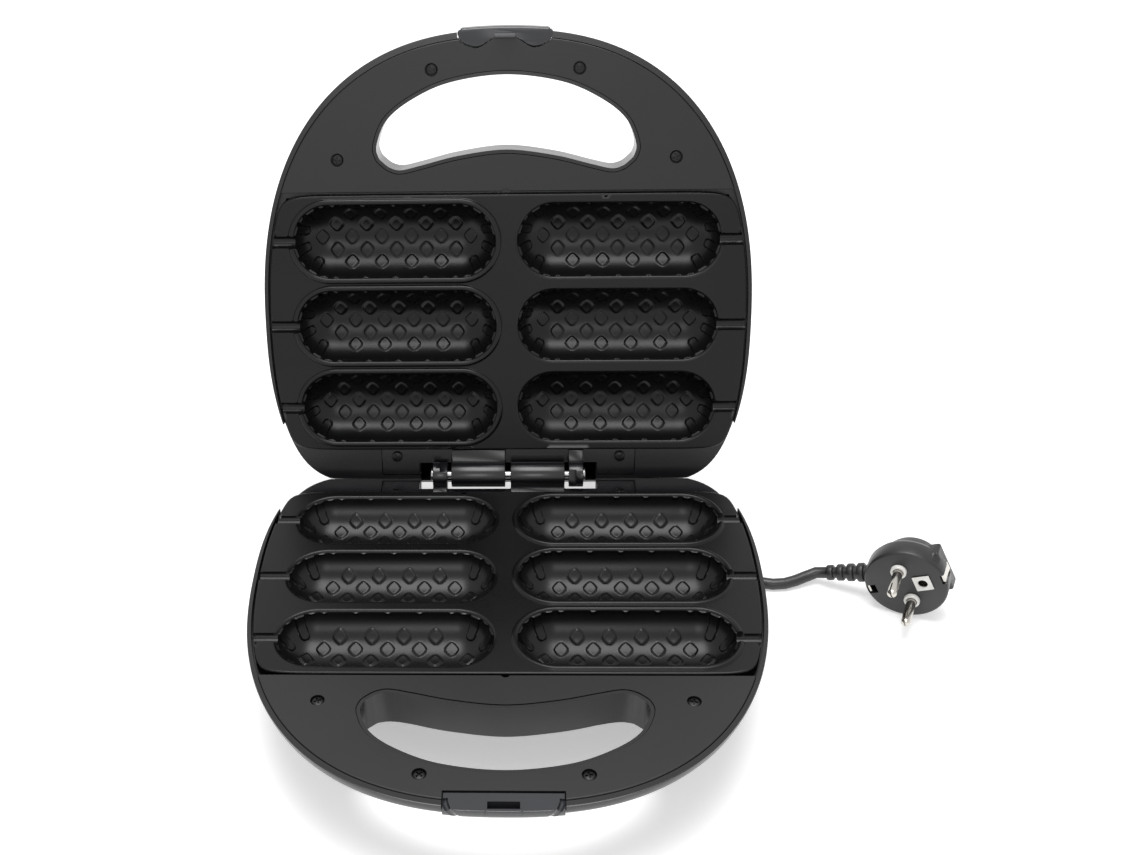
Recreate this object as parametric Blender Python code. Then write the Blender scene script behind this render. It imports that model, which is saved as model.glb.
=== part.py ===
"""Corn dog maker: two hinged halves with three-row plates, a latch, and its cord and plug."""
import math
import bmesh
import bpy
import numpy as np
from mathutils import Matrix, Vector

MM = 0.001

# Clearances and overruns
GAP = 0.3 * MM
OVERRUN = 4.0 * MM
JOIN = 0.4 * MM

# Outline of a half, seen from above; forward distances run from the hinge axis
OUTLINE_SHARE = 2.4
CENTRE_FORWARD = 78.0 * MM
SHELL_HALF_WIDTH = 122.2 * MM
SHELL_FRONT_REACH = 144.3 * MM
SHELL_REAR_REACH = 128.2 * MM
REAR_WALL_BACK = 9.0 * MM
CORNER_SHARE = 12.0

SHELL_RIM = 2.2 * MM
SHELL_RIM_FRONT = 3.3 * MM
COVER_HALF_WIDTH = SHELL_HALF_WIDTH - SHELL_RIM
COVER_REACH = SHELL_FRONT_REACH - SHELL_RIM_FRONT

# Depth of a half below its plate face
SHELL_DEPTH = 42.0 * MM
HANDLE_DEPTH = 18.0 * MM
SHELL_WALL = 2.2 * MM
RIM_WALL = 2.5 * MM
BOTTOM_BEND_START = 118.0 * MM
BOTTOM_BEND_END = 158.0 * MM
SIDE_ROUND = 24.0 * MM
REAR_ROUND = 10.0 * MM
FRONT_ROUND = 32.0 * MM
REAR_STEP_DEPTH = 5.0 * MM
REAR_STEP_FORWARD = 27.5 * MM

# Hinge
FACE_GAP = 1.5 * MM
OPEN_ANGLE = math.radians(107.416)
BARREL_RADIUS = 6.5 * MM
PIN_RADIUS = 2.0 * MM
PIN_HEAD_RADIUS = 3.2 * MM
PIN_HEAD_LENGTH = 1.2 * MM
LARGE_BARREL_START = 1.4 * MM
LARGE_BARREL_END = 29.35 * MM
SMALL_BARREL_START = 31.5 * MM
SMALL_BARREL_END = 39.0 * MM
BARREL_NOTCH_LENGTH = 3.9 * MM
BARREL_NOTCH_DEPTH = 1.6 * MM
BRIDGE_HALF_WIDTH = 66.0 * MM
BRIDGE_THICKNESS = 2.4 * MM
BRIDGE_FRONT = 12.2 * MM
BRIDGE_REAR = 2.0 * MM
BRIDGE_STRIP = 7.6 * MM
ARM_TOP = 2.5 * MM
REAR_NOTCH_HALF_WIDTH = 46.0 * MM
REAR_NOTCH_FORWARD = 12.0 * MM
STOP_GAP = 0.4 * MM

# Cooking plate
PLATE_GROOVE = 0.6 * MM
PLATE_HALF_WIDTH = COVER_HALF_WIDTH - PLATE_GROOVE
PLATE_REACH = COVER_REACH - 1.0 * MM
PLATE_FRONT = 145.2 * MM
PLATE_REAR = 13.3 * MM
PLATE_CORNER_SHARE = 24.0
PLATE_THICKNESS = 2.2 * MM
PLATE_EDGE_ROUND = 0.8 * MM
PLATE_SKIRT_WALL = 2.0 * MM
CAVITY_FIRST_ROW = 36.3 * MM
CAVITY_PITCH = 43.0 * MM
CAVITY_ROWS = 3
CAVITY_RADIUS = 18.1 * MM
CAVITY_MIDDLE_GAP = 5.5 * MM
CAVITY_END_GAP = 13.9 * MM
CAVITY_LENGTH = PLATE_HALF_WIDTH - CAVITY_END_GAP - CAVITY_MIDDLE_GAP
CAVITY_STRAIGHT = CAVITY_LENGTH / 2 - CAVITY_RADIUS
CAVITY_COLUMN = CAVITY_MIDDLE_GAP + CAVITY_LENGTH / 2
CAVITY_DEPTH = 15.2 * MM
CAVITY_WALL = 1.8 * MM
CHANNEL_RADIUS = 3.0 * MM
LEDGE_WIDTH = 3.0 * MM

# Handle cover and the hole behind the grip
COVER_REAR = 146.5 * MM
COVER_RISE = 0.4 * MM
COVER_THICKNESS = 2.0 * MM
COVER_EDGE_ROUND = 0.5 * MM
COVER_SKIRT_WALL = 1.6 * MM
COVER_SEAT_RADIUS = 5.0 * MM
GRIP_WIDTH = 20.6 * MM
HOLE_HALF_WIDTH = COVER_HALF_WIDTH - 57.4 * MM
HOLE_FRONT = CENTRE_FORWARD + SHELL_FRONT_REACH - GRIP_WIDTH
HOLE_LENGTH = 35.1 * MM
HOLE_EDGE_SHARES = [
    (0.0, 0.0), (0.43, 0.10), (0.73, 0.33), (0.92, 0.60), (1.0, 0.92), (0.99, 1.085),
    (0.947, 1.174), (0.895, 1.239), (0.815, 1.268), (0.663, 1.208), (0.371, 1.08), (0.0, 1.0),
]
HOLE_WALL = 1.7 * MM
COVER_SCREW_SIDE = COVER_HALF_WIDTH - 37.95 * MM
COVER_SCREW_SIDE_FORWARD = 162.4 * MM
COVER_SCREW_FRONT = 35.2 * MM
COVER_SCREW_FRONT_FORWARD = HOLE_FRONT + 2.6 * MM
SCREW_HEAD_RADIUS = 3.0 * MM
SCREW_HEAD_HEIGHT = 1.6 * MM
SCREW_SHANK_RADIUS = 1.4 * MM
SCREW_LENGTH = 9.0 * MM
SCREW_RECESS_RADIUS = 3.6 * MM
BOSS_RADIUS = 3.4 * MM
HINGE_SCREW_SIDE = 58.1 * MM
HINGE_SCREW_FORWARD = 8.2 * MM
COVER_SCREW_TOP = 0.2 * MM

# Feet
FOOT_RADIUS = 7.0 * MM
FOOT_HEIGHT = 5.0 * MM
FOOT_PEG_RADIUS = 2.5 * MM
FOOT_PEG_LENGTH = 4.0 * MM
FOOT_REAR_SIDE = SHELL_HALF_WIDTH - 42.2 * MM
FOOT_REAR_FORWARD = 20.0 * MM
FOOT_FRONT_SIDE = SHELL_HALF_WIDTH - 47.2 * MM
FOOT_FRONT_FORWARD = 112.0 * MM

# Heater, heat shield and controls
HEATER_RADIUS = 3.25 * MM
HEATER_BEND = 21.5 * MM
HEATER_TURN_SIDE = CAVITY_COLUMN + CAVITY_STRAIGHT
HEATER_END_SIDE = HEATER_TURN_SIDE + 12.6 * MM
TERMINAL_RADIUS = 1.5 * MM
TERMINAL_LENGTH = 5.0 * MM
SHIELD_TOP = 27.5 * MM
SHIELD_SHEET = 1.0 * MM
SHIELD_HALF_WIDTH = SHELL_HALF_WIDTH - 34.2 * MM
SHIELD_REAR = 24.0 * MM
SHIELD_FRONT = 112.0 * MM
SHIELD_FLANGE = 4.0 * MM
SHIELD_CORNER = 8.0 * MM
POST_RADIUS = 3.5 * MM
POST_SIDE = SHIELD_HALF_WIDTH - 10.0 * MM
POST_REAR_FORWARD = 34.0 * MM
POST_FRONT_FORWARD = 102.0 * MM
SHIELD_SEAT = -SHIELD_TOP - SHIELD_SHEET - GAP

# Latch and keeper
LATCH_HALF_WIDTH = 22.5 * MM
LATCH_REACH = CENTRE_FORWARD + SHELL_FRONT_REACH + 1.3 * MM
LATCH_TOP = 0.4 * MM
LATCH_BOTTOM = 13.0 * MM
LATCH_EDGE_DEPTH = 9.4 * MM
LATCH_EDGE_SHARES = [(1.0, 0.36), (0.91, 0.74), (0.6, 1.0), (0.27, 0.68), (0.0, 0.46)]
LATCH_FACE_DROP = 1.0 * MM
LATCH_SWING = 1.2 * MM
LATCH_PIN_RADIUS = 1.2 * MM
LATCH_PIN_DEPTH = 10.0 * MM
LATCH_PIN_BACK = 2.2 * MM
LATCH_PIN_SEAT = 3.2 * MM
HOOK_HALF_WIDTH = 5.0 * MM
HOOK_RISE = 5.6 * MM
HOOK_THICKNESS = 1.6 * MM
HOOK_BARB = 0.6 * MM
HOOK_BARB_HEIGHT = 1.2 * MM
LATCH_BLOCK_REAR = LATCH_REACH - 16.8 * MM
KEEPER_HALF_WIDTH = 25.1 * MM
KEEPER_REAR = LATCH_REACH - 10.2 * MM
KEEPER_DEPTH = 12.0 * MM
KEEPER_TOP = 0.3 * MM
SLOT_HALF_WIDTH = 6.7 * MM
SLOT_REAR = LATCH_REACH - 5.4 * MM
SLOT_FRONT = LATCH_REACH - 1.2 * MM
SLOT_DEPTH = 6.5 * MM

# Spring behind the latch
SPRING_RADIUS = 1.6 * MM
SPRING_WIRE = 0.3 * MM
SPRING_TURNS = 5
SPRING_LENGTH = 5.2 * MM
SPRING_SIDE = 13.5 * MM
SPRING_DEPTH = 5.4 * MM

# Parts under the plates
THERMOSTAT_RADIUS = 7.0 * MM
THERMOSTAT_HEIGHT = 7.5 * MM
FUSE_RADIUS = 2.0 * MM
FUSE_LENGTH = 14.0 * MM
FUSE_SIDE = 24.0 * MM
BLOCK_SIZE = (24.0 * MM, 12.0 * MM, 8.0 * MM)
BLOCK_SIDE = POST_SIDE - 22.0 * MM
BLOCK_FORWARD = 44.0 * MM
LENS_RADIUS = 3.0 * MM
LENS_SIDE = 12.0 * MM
LENS_FORWARD = 60.0 * MM
LENS_RISE = 1.0 * MM
LENS_LENGTH = 6.0 * MM
LENS_FLANGE = 0.9 * MM
LAMP_HOLDER_SIZE = (36.0 * MM, 10.0 * MM, 3.0 * MM)

# Cord and coil
CORD_RADIUS = 3.0 * MM
RELIEF_SIDE = SHELL_HALF_WIDTH - 47.2 * MM
RELIEF_DEPTH = 30.0 * MM
RELIEF_RADIUS = 4.0 * MM
RELIEF_FLANGE = 6.0 * MM
RELIEF_FLANGE_THICKNESS = 1.5 * MM
RELIEF_INNER_BACK = 0.5 * MM
RELIEF_REACH = 35.0 * MM
COIL_INNER_RADIUS = 28.5 * MM
COIL_PITCH = 6.6 * MM
COIL_TURNS = 2.75
COIL_POINTS_PER_TURN = 24
COIL_SIDE = 32.0 * MM
COIL_BACK = 100.0 * MM
TIE_SHEET = 1.0 * MM
TIE_WIDTH = 6.0 * MM
TIE_ANGLE = math.radians(135.0)

# Plug
PLUG_RADIUS = 20.5 * MM
PLUG_THICKNESS = 14.0 * MM
PLUG_BACK_RADIUS = 14.0 * MM
PLUG_BACK_LENGTH = 22.0 * MM
PLUG_PIN_RADIUS = 2.4 * MM
PLUG_PIN_LENGTH = 19.0 * MM
PLUG_PIN_SEAT = 6.0 * MM
PLUG_PIN_SIDE = 9.5 * MM
COLLAR_RADIUS = 3.9 * MM
COLLAR_LENGTH = 2.2 * MM
EARTH_SIDE = 9.0 * MM
EARTH_FRAME = 8.6 * MM
EARTH_RISE = 1.0 * MM
EARTH_SLEEVE_RADIUS = 3.1 * MM
EARTH_HOLE_RADIUS = 2.4 * MM
EARTH_DEPTH = 12.0 * MM
CLIP_WIDTH = 4.6 * MM
CLIP_SHEET = 1.4 * MM
CLIP_LENGTH = 12.0 * MM
PLUG_RELIEF_START = 15.0 * MM
PLUG_RELIEF_END = 42.0 * MM
PLUG_RELIEF_ROOT = 5.6 * MM
PLUG_RELIEF_TIP = 4.0 * MM
PLUG_RELIEF_BACK = 10.0 * MM
PLUG_RELIEF_TILT = math.radians(9.0)
PLUG_RIBS = 5
PLUG_SIDE = 198.0 * MM
PLUG_FORWARD = 56.5 * MM
PLUG_HEIGHT = 21.0 * MM
PLUG_TOP_DIRECTION = (0.81, -0.35, 0.47)
PLUG_PIN_DIRECTION = (-0.37, -0.93, -0.05)

# Cord routes by hand: across, back and height, from the hinge axis and for the second from the surface
UPPER_ROUTE = [(0.0745, 0.056, -0.0325), (0.0730, 0.075, -0.0362)]
FLOOR_ROUTE = [
    (0.058, 0.0630, 0.0036), (0.079, 0.0600, 0.0031), (0.096, 0.0500, 0.003), (0.106, 0.0340, 0.003),
    (0.110, 0.0160, 0.003), (0.1125, -0.003, 0.003), (0.1175, -0.020, 0.003), (0.125, -0.0310, 0.003),
    (0.1345, -0.0352, 0.003), (0.1440, -0.0350, 0.0032), (0.1525, -0.0320, 0.0043),
]

# Facets of round pieces and outlines
LARGE_SIDES = 24
MEDIUM_SIDES = 12
SMALL_SIDES = 8
RING_POINTS = 48
WALL_STEPS = 4
BOTTOM_SHARES = [0.8, 0.62, 0.45, 0.25]


def clear_scene():
    """Remove whatever the open file holds."""
    for item in list(bpy.data.objects):
        bpy.data.objects.remove(item, do_unlink=True)


def make_material(name, colour, roughness, metallic=0.0):
    """Plain Principled finish of one piece."""
    finish = bpy.data.materials.new(name)
    finish.use_nodes = True
    shader = finish.node_tree.nodes["Principled BSDF"]
    shader.inputs["Base Color"].default_value = (*colour, 1.0)
    shader.inputs["Roughness"].default_value = roughness
    shader.inputs["Metallic"].default_value = metallic
    return finish


FINISHES = {
    "shell": ((0.020, 0.020, 0.024), 0.25, 0.0),
    "cover": ((0.030, 0.030, 0.033), 0.50, 0.0),
    "plate": ((0.045, 0.045, 0.048), 0.35, 0.3),
    "latch": ((0.060, 0.062, 0.068), 0.20, 0.0),
    "steel": ((0.55, 0.55, 0.56), 0.35, 1.0),
    "screw": ((0.03, 0.03, 0.03), 0.40, 0.8),
    "foot": ((0.02, 0.02, 0.02), 0.85, 0.0),
    "ceramic": ((0.75, 0.72, 0.66), 0.55, 0.0),
    "nickel": ((0.72, 0.71, 0.69), 0.22, 1.0),
    "cord": ((0.012, 0.012, 0.012), 0.45, 0.0),
    "white": ((0.78, 0.77, 0.74), 0.45, 0.0),
    "red": ((0.55, 0.02, 0.01), 0.15, 0.0),
    "green": ((0.02, 0.35, 0.05), 0.15, 0.0),
}


def finish_object(item, kind, parent, guide):
    """Give an object its own finish, its parent and its place among pieces or guides."""
    bpy.context.collection.objects.link(item)
    item.parent = parent
    if guide:
        item.hide_render = True
        item.display_type = "WIRE"
    else:
        item.data.materials.append(make_material(item.name, *FINISHES[kind]))
    return item


def add_mesh(name, points, faces, kind=None, parent=None):
    """One closed mesh, faces turned outward; with no finish kind it is a guide."""
    mesh = bpy.data.meshes.new(name)
    mesh.from_pydata([tuple(point) for point in points], [], faces)
    work = bmesh.new()
    work.from_mesh(mesh)
    bmesh.ops.recalc_face_normals(work, faces=work.faces)
    work.to_mesh(mesh)
    work.free()
    mesh.shade_smooth()
    mesh.set_sharp_from_angle(angle=math.radians(35))
    return finish_object(bpy.data.objects.new(name, mesh), kind, parent, kind is None)


def loft(name, rings, kind=None, parent=None, move=None):
    """Closed solid through rings of equal point counts, capped at both ends."""
    count = len(rings[0])
    points = [Vector(point) for ring in rings for point in ring]
    if move is not None:
        points = [move @ point for point in points]
    faces = []
    for level in range(len(rings) - 1):
        base = level * count
        for index in range(count):
            after = (index + 1) % count
            faces.append((base + index, base + after, base + count + after, base + count + index))
    faces.append(tuple(range(count)))
    faces.append(tuple(range((len(rings) - 1) * count, len(rings) * count)))
    return add_mesh(name, points, faces, kind, parent)


def prism(name, outline, low, high, kind=None, parent=None, move=None):
    """Straight solid over a flat outline, from height low to height high."""
    rings = [[(x, y, level) for x, y in outline] for level in (low, high)]
    return loft(name, rings, kind, parent, move)


def box(name, low, high, kind=None, parent=None, move=None):
    """Rectangular solid between two corners."""
    outline = [(low[0], low[1]), (high[0], low[1]), (high[0], high[1]), (low[0], high[1])]
    return prism(name, outline, low[2], high[2], kind, parent, move)


def circle(radius, sides=MEDIUM_SIDES, centre=(0.0, 0.0)):
    """Points of a round outline."""
    step = math.tau / sides
    return [(centre[0] + radius * math.cos(step * k), centre[1] + radius * math.sin(step * k)) for k in range(sides)]


def turned(name, profile, kind=None, parent=None, move=None, sides=MEDIUM_SIDES):
    """Solid turned about its own Z from (radius, height) pairs."""
    rings = [[(x, y, height) for x, y in circle(radius, sides)] for radius, height in profile]
    return loft(name, rings, kind, parent, move)


def place(side, forward, height):
    """Point of a half: across, forward from the hinge axis and above the plate face."""
    return Vector((side, -forward, height - FACE_GAP / 2))


def shift(side, forward, height):
    """Move to a point of a half."""
    return Matrix.Translation(place(side, forward, height))


def half_box(name, sides, forwards, heights, kind=None, parent=None):
    """Box of a half, each span as a low and a high value."""
    low = place(sides[0], forwards[1], heights[0])
    high = place(sides[1], forwards[0], heights[1])
    return box(name, low, high, kind, parent)


def boolean(target, tool, operation):
    """Exact Boolean of one object by another."""
    step = target.modifiers.new(tool.name, "BOOLEAN")
    step.operation = operation
    step.solver = "EXACT"
    step.object = tool


def cut(target, *tools):
    """Cut each tool out of the target."""
    for tool in tools:
        boolean(target, tool, "DIFFERENCE")


def join(target, *tools):
    """Unite each tool with the target."""
    for tool in tools:
        boolean(target, tool, "UNION")


def smooth_share(value, start, end):
    """Share from 0 to 1 that eases in between two values."""
    share = min(max((value - start) / (end - start), 0.0), 1.0)
    return share * share * (3.0 - 2.0 * share)


def ring_reach(angle, half_width, front_reach, rear_reach, rear=None, front=None, corner_share=CORNER_SHARE):
    """Distance from the outline's centre to its edge in one direction.

    Angle 0 points across and a quarter turn points forward; rear and front are straight edges.
    """
    across, along = math.cos(angle), math.sin(angle)
    reach = front_reach if along > 0 else rear_reach
    power = OUTLINE_SHARE
    edges = [(abs(across / half_width) ** power + abs(along / reach) ** power) ** (-1.0 / power)]
    if rear is not None and along < 0:
        edges.append((CENTRE_FORWARD - rear) / -along)
    if front is not None and along > 0:
        edges.append((front - CENTRE_FORWARD) / along)
    shortest = min(edges)
    total = sum((shortest / edge) ** corner_share for edge in edges)
    return shortest * total ** (-1.0 / corner_share)


def even_angles(count, *args, **keys):
    """Directions that space an outline's points evenly along its edge, alike on both sides."""
    fine = [math.tau * k / (count * 40) - math.pi / 2 for k in range(count * 20 + 1)]
    points = [ring_reach(a, *args, **keys) * np.array([math.cos(a), math.sin(a)]) for a in fine]
    lengths = np.concatenate([[0.0], np.cumsum([np.linalg.norm(b - a) for a, b in zip(points, points[1:])])])
    wanted = np.linspace(0.0, lengths[-1], count // 2 + 1)
    half = [float(a) for a in np.interp(wanted, lengths, fine)]
    return half + [math.pi - a for a in half[-2:0:-1]]


def ring(angles, height, *args, **keys):
    """Ring of local points at a height that may depend on the forward distance."""
    points = []
    for angle in angles:
        reach = ring_reach(angle, *args, **keys)
        side = reach * math.cos(angle)
        forward = CENTRE_FORWARD + reach * math.sin(angle)
        level = height(forward) if callable(height) else height
        points.append(place(side, forward, level))
    return points


def body_depth(forward):
    """Depth of the outer bottom, shallower under the handle."""
    share = smooth_share(forward, BOTTOM_BEND_START, BOTTOM_BEND_END)
    return SHELL_DEPTH + (HANDLE_DEPTH - SHELL_DEPTH) * share


# Outlines shared by the pieces of both halves
SHELL_OUTLINE = (SHELL_HALF_WIDTH, SHELL_FRONT_REACH, SHELL_REAR_REACH)
SHELL_ANGLES = even_angles(RING_POINTS, *SHELL_OUTLINE, rear=-REAR_WALL_BACK)
PLATE_EDGES = {"rear": PLATE_REAR, "front": PLATE_FRONT, "corner_share": PLATE_CORNER_SHARE}
LEDGE_DEPTH = REAR_STEP_DEPTH
SKIRT_DEPTH = LEDGE_DEPTH - GAP
BRIDGE_TOP = -REAR_STEP_DEPTH
BRIDGE_BOTTOM = BRIDGE_TOP - BRIDGE_THICKNESS
FLOOR_ROOF = BRIDGE_BOTTOM - GAP - SHELL_WALL


def hole_outline(margin=0.0):
    """Crescent between grip and body, grown outward by a margin."""
    right = [(HOLE_HALF_WIDTH * side, HOLE_FRONT - HOLE_LENGTH * back) for side, back in HOLE_EDGE_SHARES]
    left = [(-side, forward) for side, forward in right[-2:0:-1]]
    points = [np.array(point) for point in right + left]
    moved = []
    for index, point in enumerate(points):
        along = points[(index + 1) % len(points)] - points[index - 1]
        along /= np.linalg.norm(along)
        outward = np.array([-along[1], along[0]])
        moved.append(tuple(point + outward * margin))
    return moved


def hole_prism(name, margin, low, high, kind=None, parent=None):
    """Upright solid over the crescent."""
    outline = [(side, -forward) for side, forward in hole_outline(margin)]
    return prism(name, outline, low - FACE_GAP / 2, high - FACE_GAP / 2, kind, parent)


def section_round(forward):
    """Inward sweep of the outer wall, wide under the handle and narrow at the rear."""
    rear = smooth_share(forward, -REAR_WALL_BACK, REAR_STEP_FORWARD)
    front = smooth_share(forward, BOTTOM_BEND_START, BOTTOM_BEND_END)
    side = REAR_ROUND + (SIDE_ROUND - REAR_ROUND) * rear
    return side + (FRONT_ROUND - side) * front


def wall_rings(angles, inset, lift, steps):
    """Rings down a rounded wall; inset and lift keep an inner wall clear of the outer one."""
    rings = []
    for step in steps:
        level = []
        for angle in angles:
            reach = ring_reach(angle, *SHELL_OUTLINE, rear=-REAR_WALL_BACK)
            direction = Vector((math.cos(angle), math.sin(angle)))
            forward = CENTRE_FORWARD + reach * direction.y
            sweep = section_round(forward) * (1.0 - math.cos(step)) + inset
            spot = direction * (reach - sweep)
            depth = body_depth(CENTRE_FORWARD + spot.y) - lift
            level.append(place(spot.x, CENTRE_FORWARD + spot.y, -depth * math.sin(step)))
        rings.append(level)
    return rings


def bottom_rings(last, lift, shares):
    """Rings across the bottom toward its middle, following its depth."""
    rings = []
    for share in shares:
        level = []
        for point in last:
            side = point.x * share
            forward = CENTRE_FORWARD + (-point.y - CENTRE_FORWARD) * share
            level.append(place(side, forward, lift - body_depth(forward)))
        rings.append(level)
    return rings


def quarter_steps(count):
    """Angles from the rim to the bottom."""
    return [math.pi / 2 * k / count for k in range(count + 1)]


def shell_body(name, parent):
    """Outer solid of a half before it is hollowed."""
    rings = wall_rings(SHELL_ANGLES, 0.0, 0.0, quarter_steps(WALL_STEPS))
    rings += bottom_rings(rings[-1], 0.0, BOTTOM_SHARES)
    return loft(name, rings, "shell", parent)


def room_ring():
    """Widest ring of the hollow, just under the rear floor, one wall inside the outer surface."""
    level = []
    for angle in SHELL_ANGLES:
        reach = ring_reach(angle, *SHELL_OUTLINE, rear=-REAR_WALL_BACK)
        forward = CENTRE_FORWARD + reach * math.sin(angle)
        lean = math.asin((SHELL_WALL - FLOOR_ROOF) / body_depth(forward))
        reach -= section_round(forward) * (1.0 - math.cos(lean)) + SHELL_WALL
        level.append(place(reach * math.cos(angle), CENTRE_FORWARD + reach * math.sin(angle), FLOOR_ROOF))
    return level


def shell_cavity(prefix, parent):
    """Hollow of a half: the pocket for plate and cover, the ledge and the room below."""
    edges = {"rear": PLATE_REAR - GAP, "corner_share": PLATE_CORNER_SHARE}
    pocket = (COVER_HALF_WIDTH + GAP, COVER_REACH + GAP, COVER_REACH + GAP)
    ledge = tuple(value - LEDGE_WIDTH for value in pocket)
    under = {"rear": PLATE_REAR + RIM_WALL, "corner_share": PLATE_CORNER_SHARE}
    rings = [ring(SHELL_ANGLES, OVERRUN, *pocket, **edges)]
    rings.append(ring(SHELL_ANGLES, -LEDGE_DEPTH, *pocket, **edges))
    rings.append(ring(SHELL_ANGLES, -LEDGE_DEPTH, *ledge, **under))
    rings.append(ring(SHELL_ANGLES, FLOOR_ROOF, *ledge, **under))
    rings.append(room_ring())
    inner = wall_rings(SHELL_ANGLES, LEDGE_WIDTH, SHELL_WALL, quarter_steps(WALL_STEPS)[2:])
    rings += inner + bottom_rings(inner[-1], SHELL_WALL, BOTTOM_SHARES)
    return loft(prefix + "_cavity_guide", rings, None, parent)


def upright(name, radius, side, forward, low, high, parent, kind=None, sides=SMALL_SIDES):
    """Round post of a half between two heights."""
    profile = [(radius, low), (radius, high)]
    return turned(name, profile, kind, parent, shift(side, forward, 0.0), sides)


def cover_screw_places():
    """Places of the four handle cover screws."""
    side = [(way * COVER_SCREW_SIDE, COVER_SCREW_SIDE_FORWARD) for way in (-1, 1)]
    return side + [(way * COVER_SCREW_FRONT, COVER_SCREW_FRONT_FORWARD) for way in (-1, 1)]


def post_places():
    """Places of the four posts that carry the heat shield."""
    return [(way * POST_SIDE, forward) for way in (-1, 1) for forward in (POST_REAR_FORWARD, POST_FRONT_FORWARD)]


def foot_places():
    """Places of the four feet."""
    rear = [(way * FOOT_REAR_SIDE, FOOT_REAR_FORWARD) for way in (-1, 1)]
    return rear + [(way * FOOT_FRONT_SIDE, FOOT_FRONT_FORWARD) for way in (-1, 1)]


def build_shell(prefix, parent):
    """Shell of a half with its towers, posts, notch and holes."""
    shell = shell_body(prefix + "_shell", parent)
    cavity = shell_cavity(prefix, parent)
    cut(cavity, hole_prism(prefix + "_hole_wall_guide", HOLE_WALL, -SHELL_DEPTH, 0.0, None, parent))
    block = (REAR_NOTCH_HALF_WIDTH + RIM_WALL, REAR_NOTCH_FORWARD + RIM_WALL)
    spans = ((-block[0], block[0]), (-REAR_WALL_BACK - OVERRUN, block[1]), (-SHELL_DEPTH - OVERRUN, -LEDGE_DEPTH))
    cut(cavity, half_box(prefix + "_notch_wall_guide", *spans, None, parent))
    middle = (PLATE_FRONT + COVER_REAR) / 2
    wall = (middle - RIM_WALL, middle + RIM_WALL)
    spans = ((-SHELL_HALF_WIDTH, SHELL_HALF_WIDTH), wall, (-SHELL_DEPTH - OVERRUN, -LEDGE_DEPTH))
    cut(cavity, half_box(prefix + "_cross_wall_guide", *spans, None, parent))
    spans = ((-KEEPER_HALF_WIDTH - RIM_WALL, KEEPER_HALF_WIDTH + RIM_WALL),
             (LATCH_BLOCK_REAR, LATCH_REACH + OVERRUN), (-SHELL_DEPTH, -LEDGE_DEPTH - GAP * 2))
    cut(cavity, half_box(prefix + "_front_block_guide", *spans, None, parent))
    for way in (-1, 1):
        name = f"{prefix}_hinge_boss_guide_{way + 1}"
        spot = (way * HINGE_SCREW_SIDE, HINGE_SCREW_FORWARD)
        cut(cavity, upright(name, BOSS_RADIUS, *spot, -SHELL_DEPTH - OVERRUN, OVERRUN, parent))
    for index, (side, forward) in enumerate(cover_screw_places()):
        name = f"{prefix}_boss_guide_{index}"
        cut(cavity, upright(name, BOSS_RADIUS, side, forward, -SHELL_DEPTH, -LEDGE_DEPTH - GAP, parent))
    for index, (side, forward) in enumerate(post_places()):
        name = f"{prefix}_post_guide_{index}"
        cut(cavity, upright(name, POST_RADIUS, side, forward, -SHELL_DEPTH - OVERRUN, SHIELD_SEAT, parent))
    cut(shell, cavity)
    cut(shell, hole_prism(prefix + "_hole_guide", 0.0, -SHELL_DEPTH, OVERRUN, None, parent))
    spans = ((-REAR_NOTCH_HALF_WIDTH, REAR_NOTCH_HALF_WIDTH), (-REAR_WALL_BACK - OVERRUN, REAR_NOTCH_FORWARD),
             (-SHELL_DEPTH - OVERRUN, OVERRUN))
    cut(shell, half_box(prefix + "_notch_guide", *spans, None, parent))
    cut(shell, rear_step(prefix, parent))
    spans = ((-BRIDGE_HALF_WIDTH - GAP, BRIDGE_HALF_WIDTH + GAP), (-BRIDGE_REAR - GAP, BRIDGE_FRONT + GAP),
             (BRIDGE_BOTTOM - GAP, OVERRUN))
    cut(shell, half_box(prefix + "_bridge_seat_guide", *spans, None, parent))
    for index, (side, forward) in enumerate(cover_screw_places()):
        name = f"{prefix}_boss_hole_guide_{index}"
        low = COVER_SCREW_TOP - SCREW_HEAD_HEIGHT - SCREW_LENGTH - GAP
        cut(shell, upright(name, SCREW_SHANK_RADIUS + GAP, side, forward, low, OVERRUN, parent, sides=SMALL_SIDES))
    for way in (-1, 1):
        name = f"{prefix}_hinge_hole_guide_{way + 1}"
        low = BRIDGE_TOP - SCREW_LENGTH
        spot = (way * HINGE_SCREW_SIDE, HINGE_SCREW_FORWARD)
        cut(shell, upright(name, SCREW_SHANK_RADIUS + GAP, *spot, low, OVERRUN, parent, sides=SMALL_SIDES))
    return shell


def rear_step(prefix, parent):
    """Guide that lowers the rear edge and slopes it so that the open halves meet there."""
    share = (math.tau - OPEN_ANGLE) / 2
    steep = -math.tan(share)
    drop = STOP_GAP / 2 / -math.cos(share)
    level = REAR_STEP_DEPTH + FACE_GAP / 2
    back = REAR_WALL_BACK + OVERRUN
    outline = [(REAR_STEP_FORWARD, OVERRUN), (REAR_STEP_FORWARD, -level), ((drop - level) / steep, -level),
               (-back, -back * steep - drop), (-back, OVERRUN)]
    half_width = SHELL_HALF_WIDTH + OVERRUN
    rings = [[(side, -forward, height) for forward, height in outline] for side in (-half_width, half_width)]
    return loft(prefix + "_rear_step_guide", rings, None, parent)


def cavity_places():
    """Centres of the cooking cavities."""
    rows = [CAVITY_FIRST_ROW + CAVITY_PITCH * row for row in range(CAVITY_ROWS)]
    return [(way * CAVITY_COLUMN, forward) for forward in rows for way in (-1, 1)]


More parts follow.
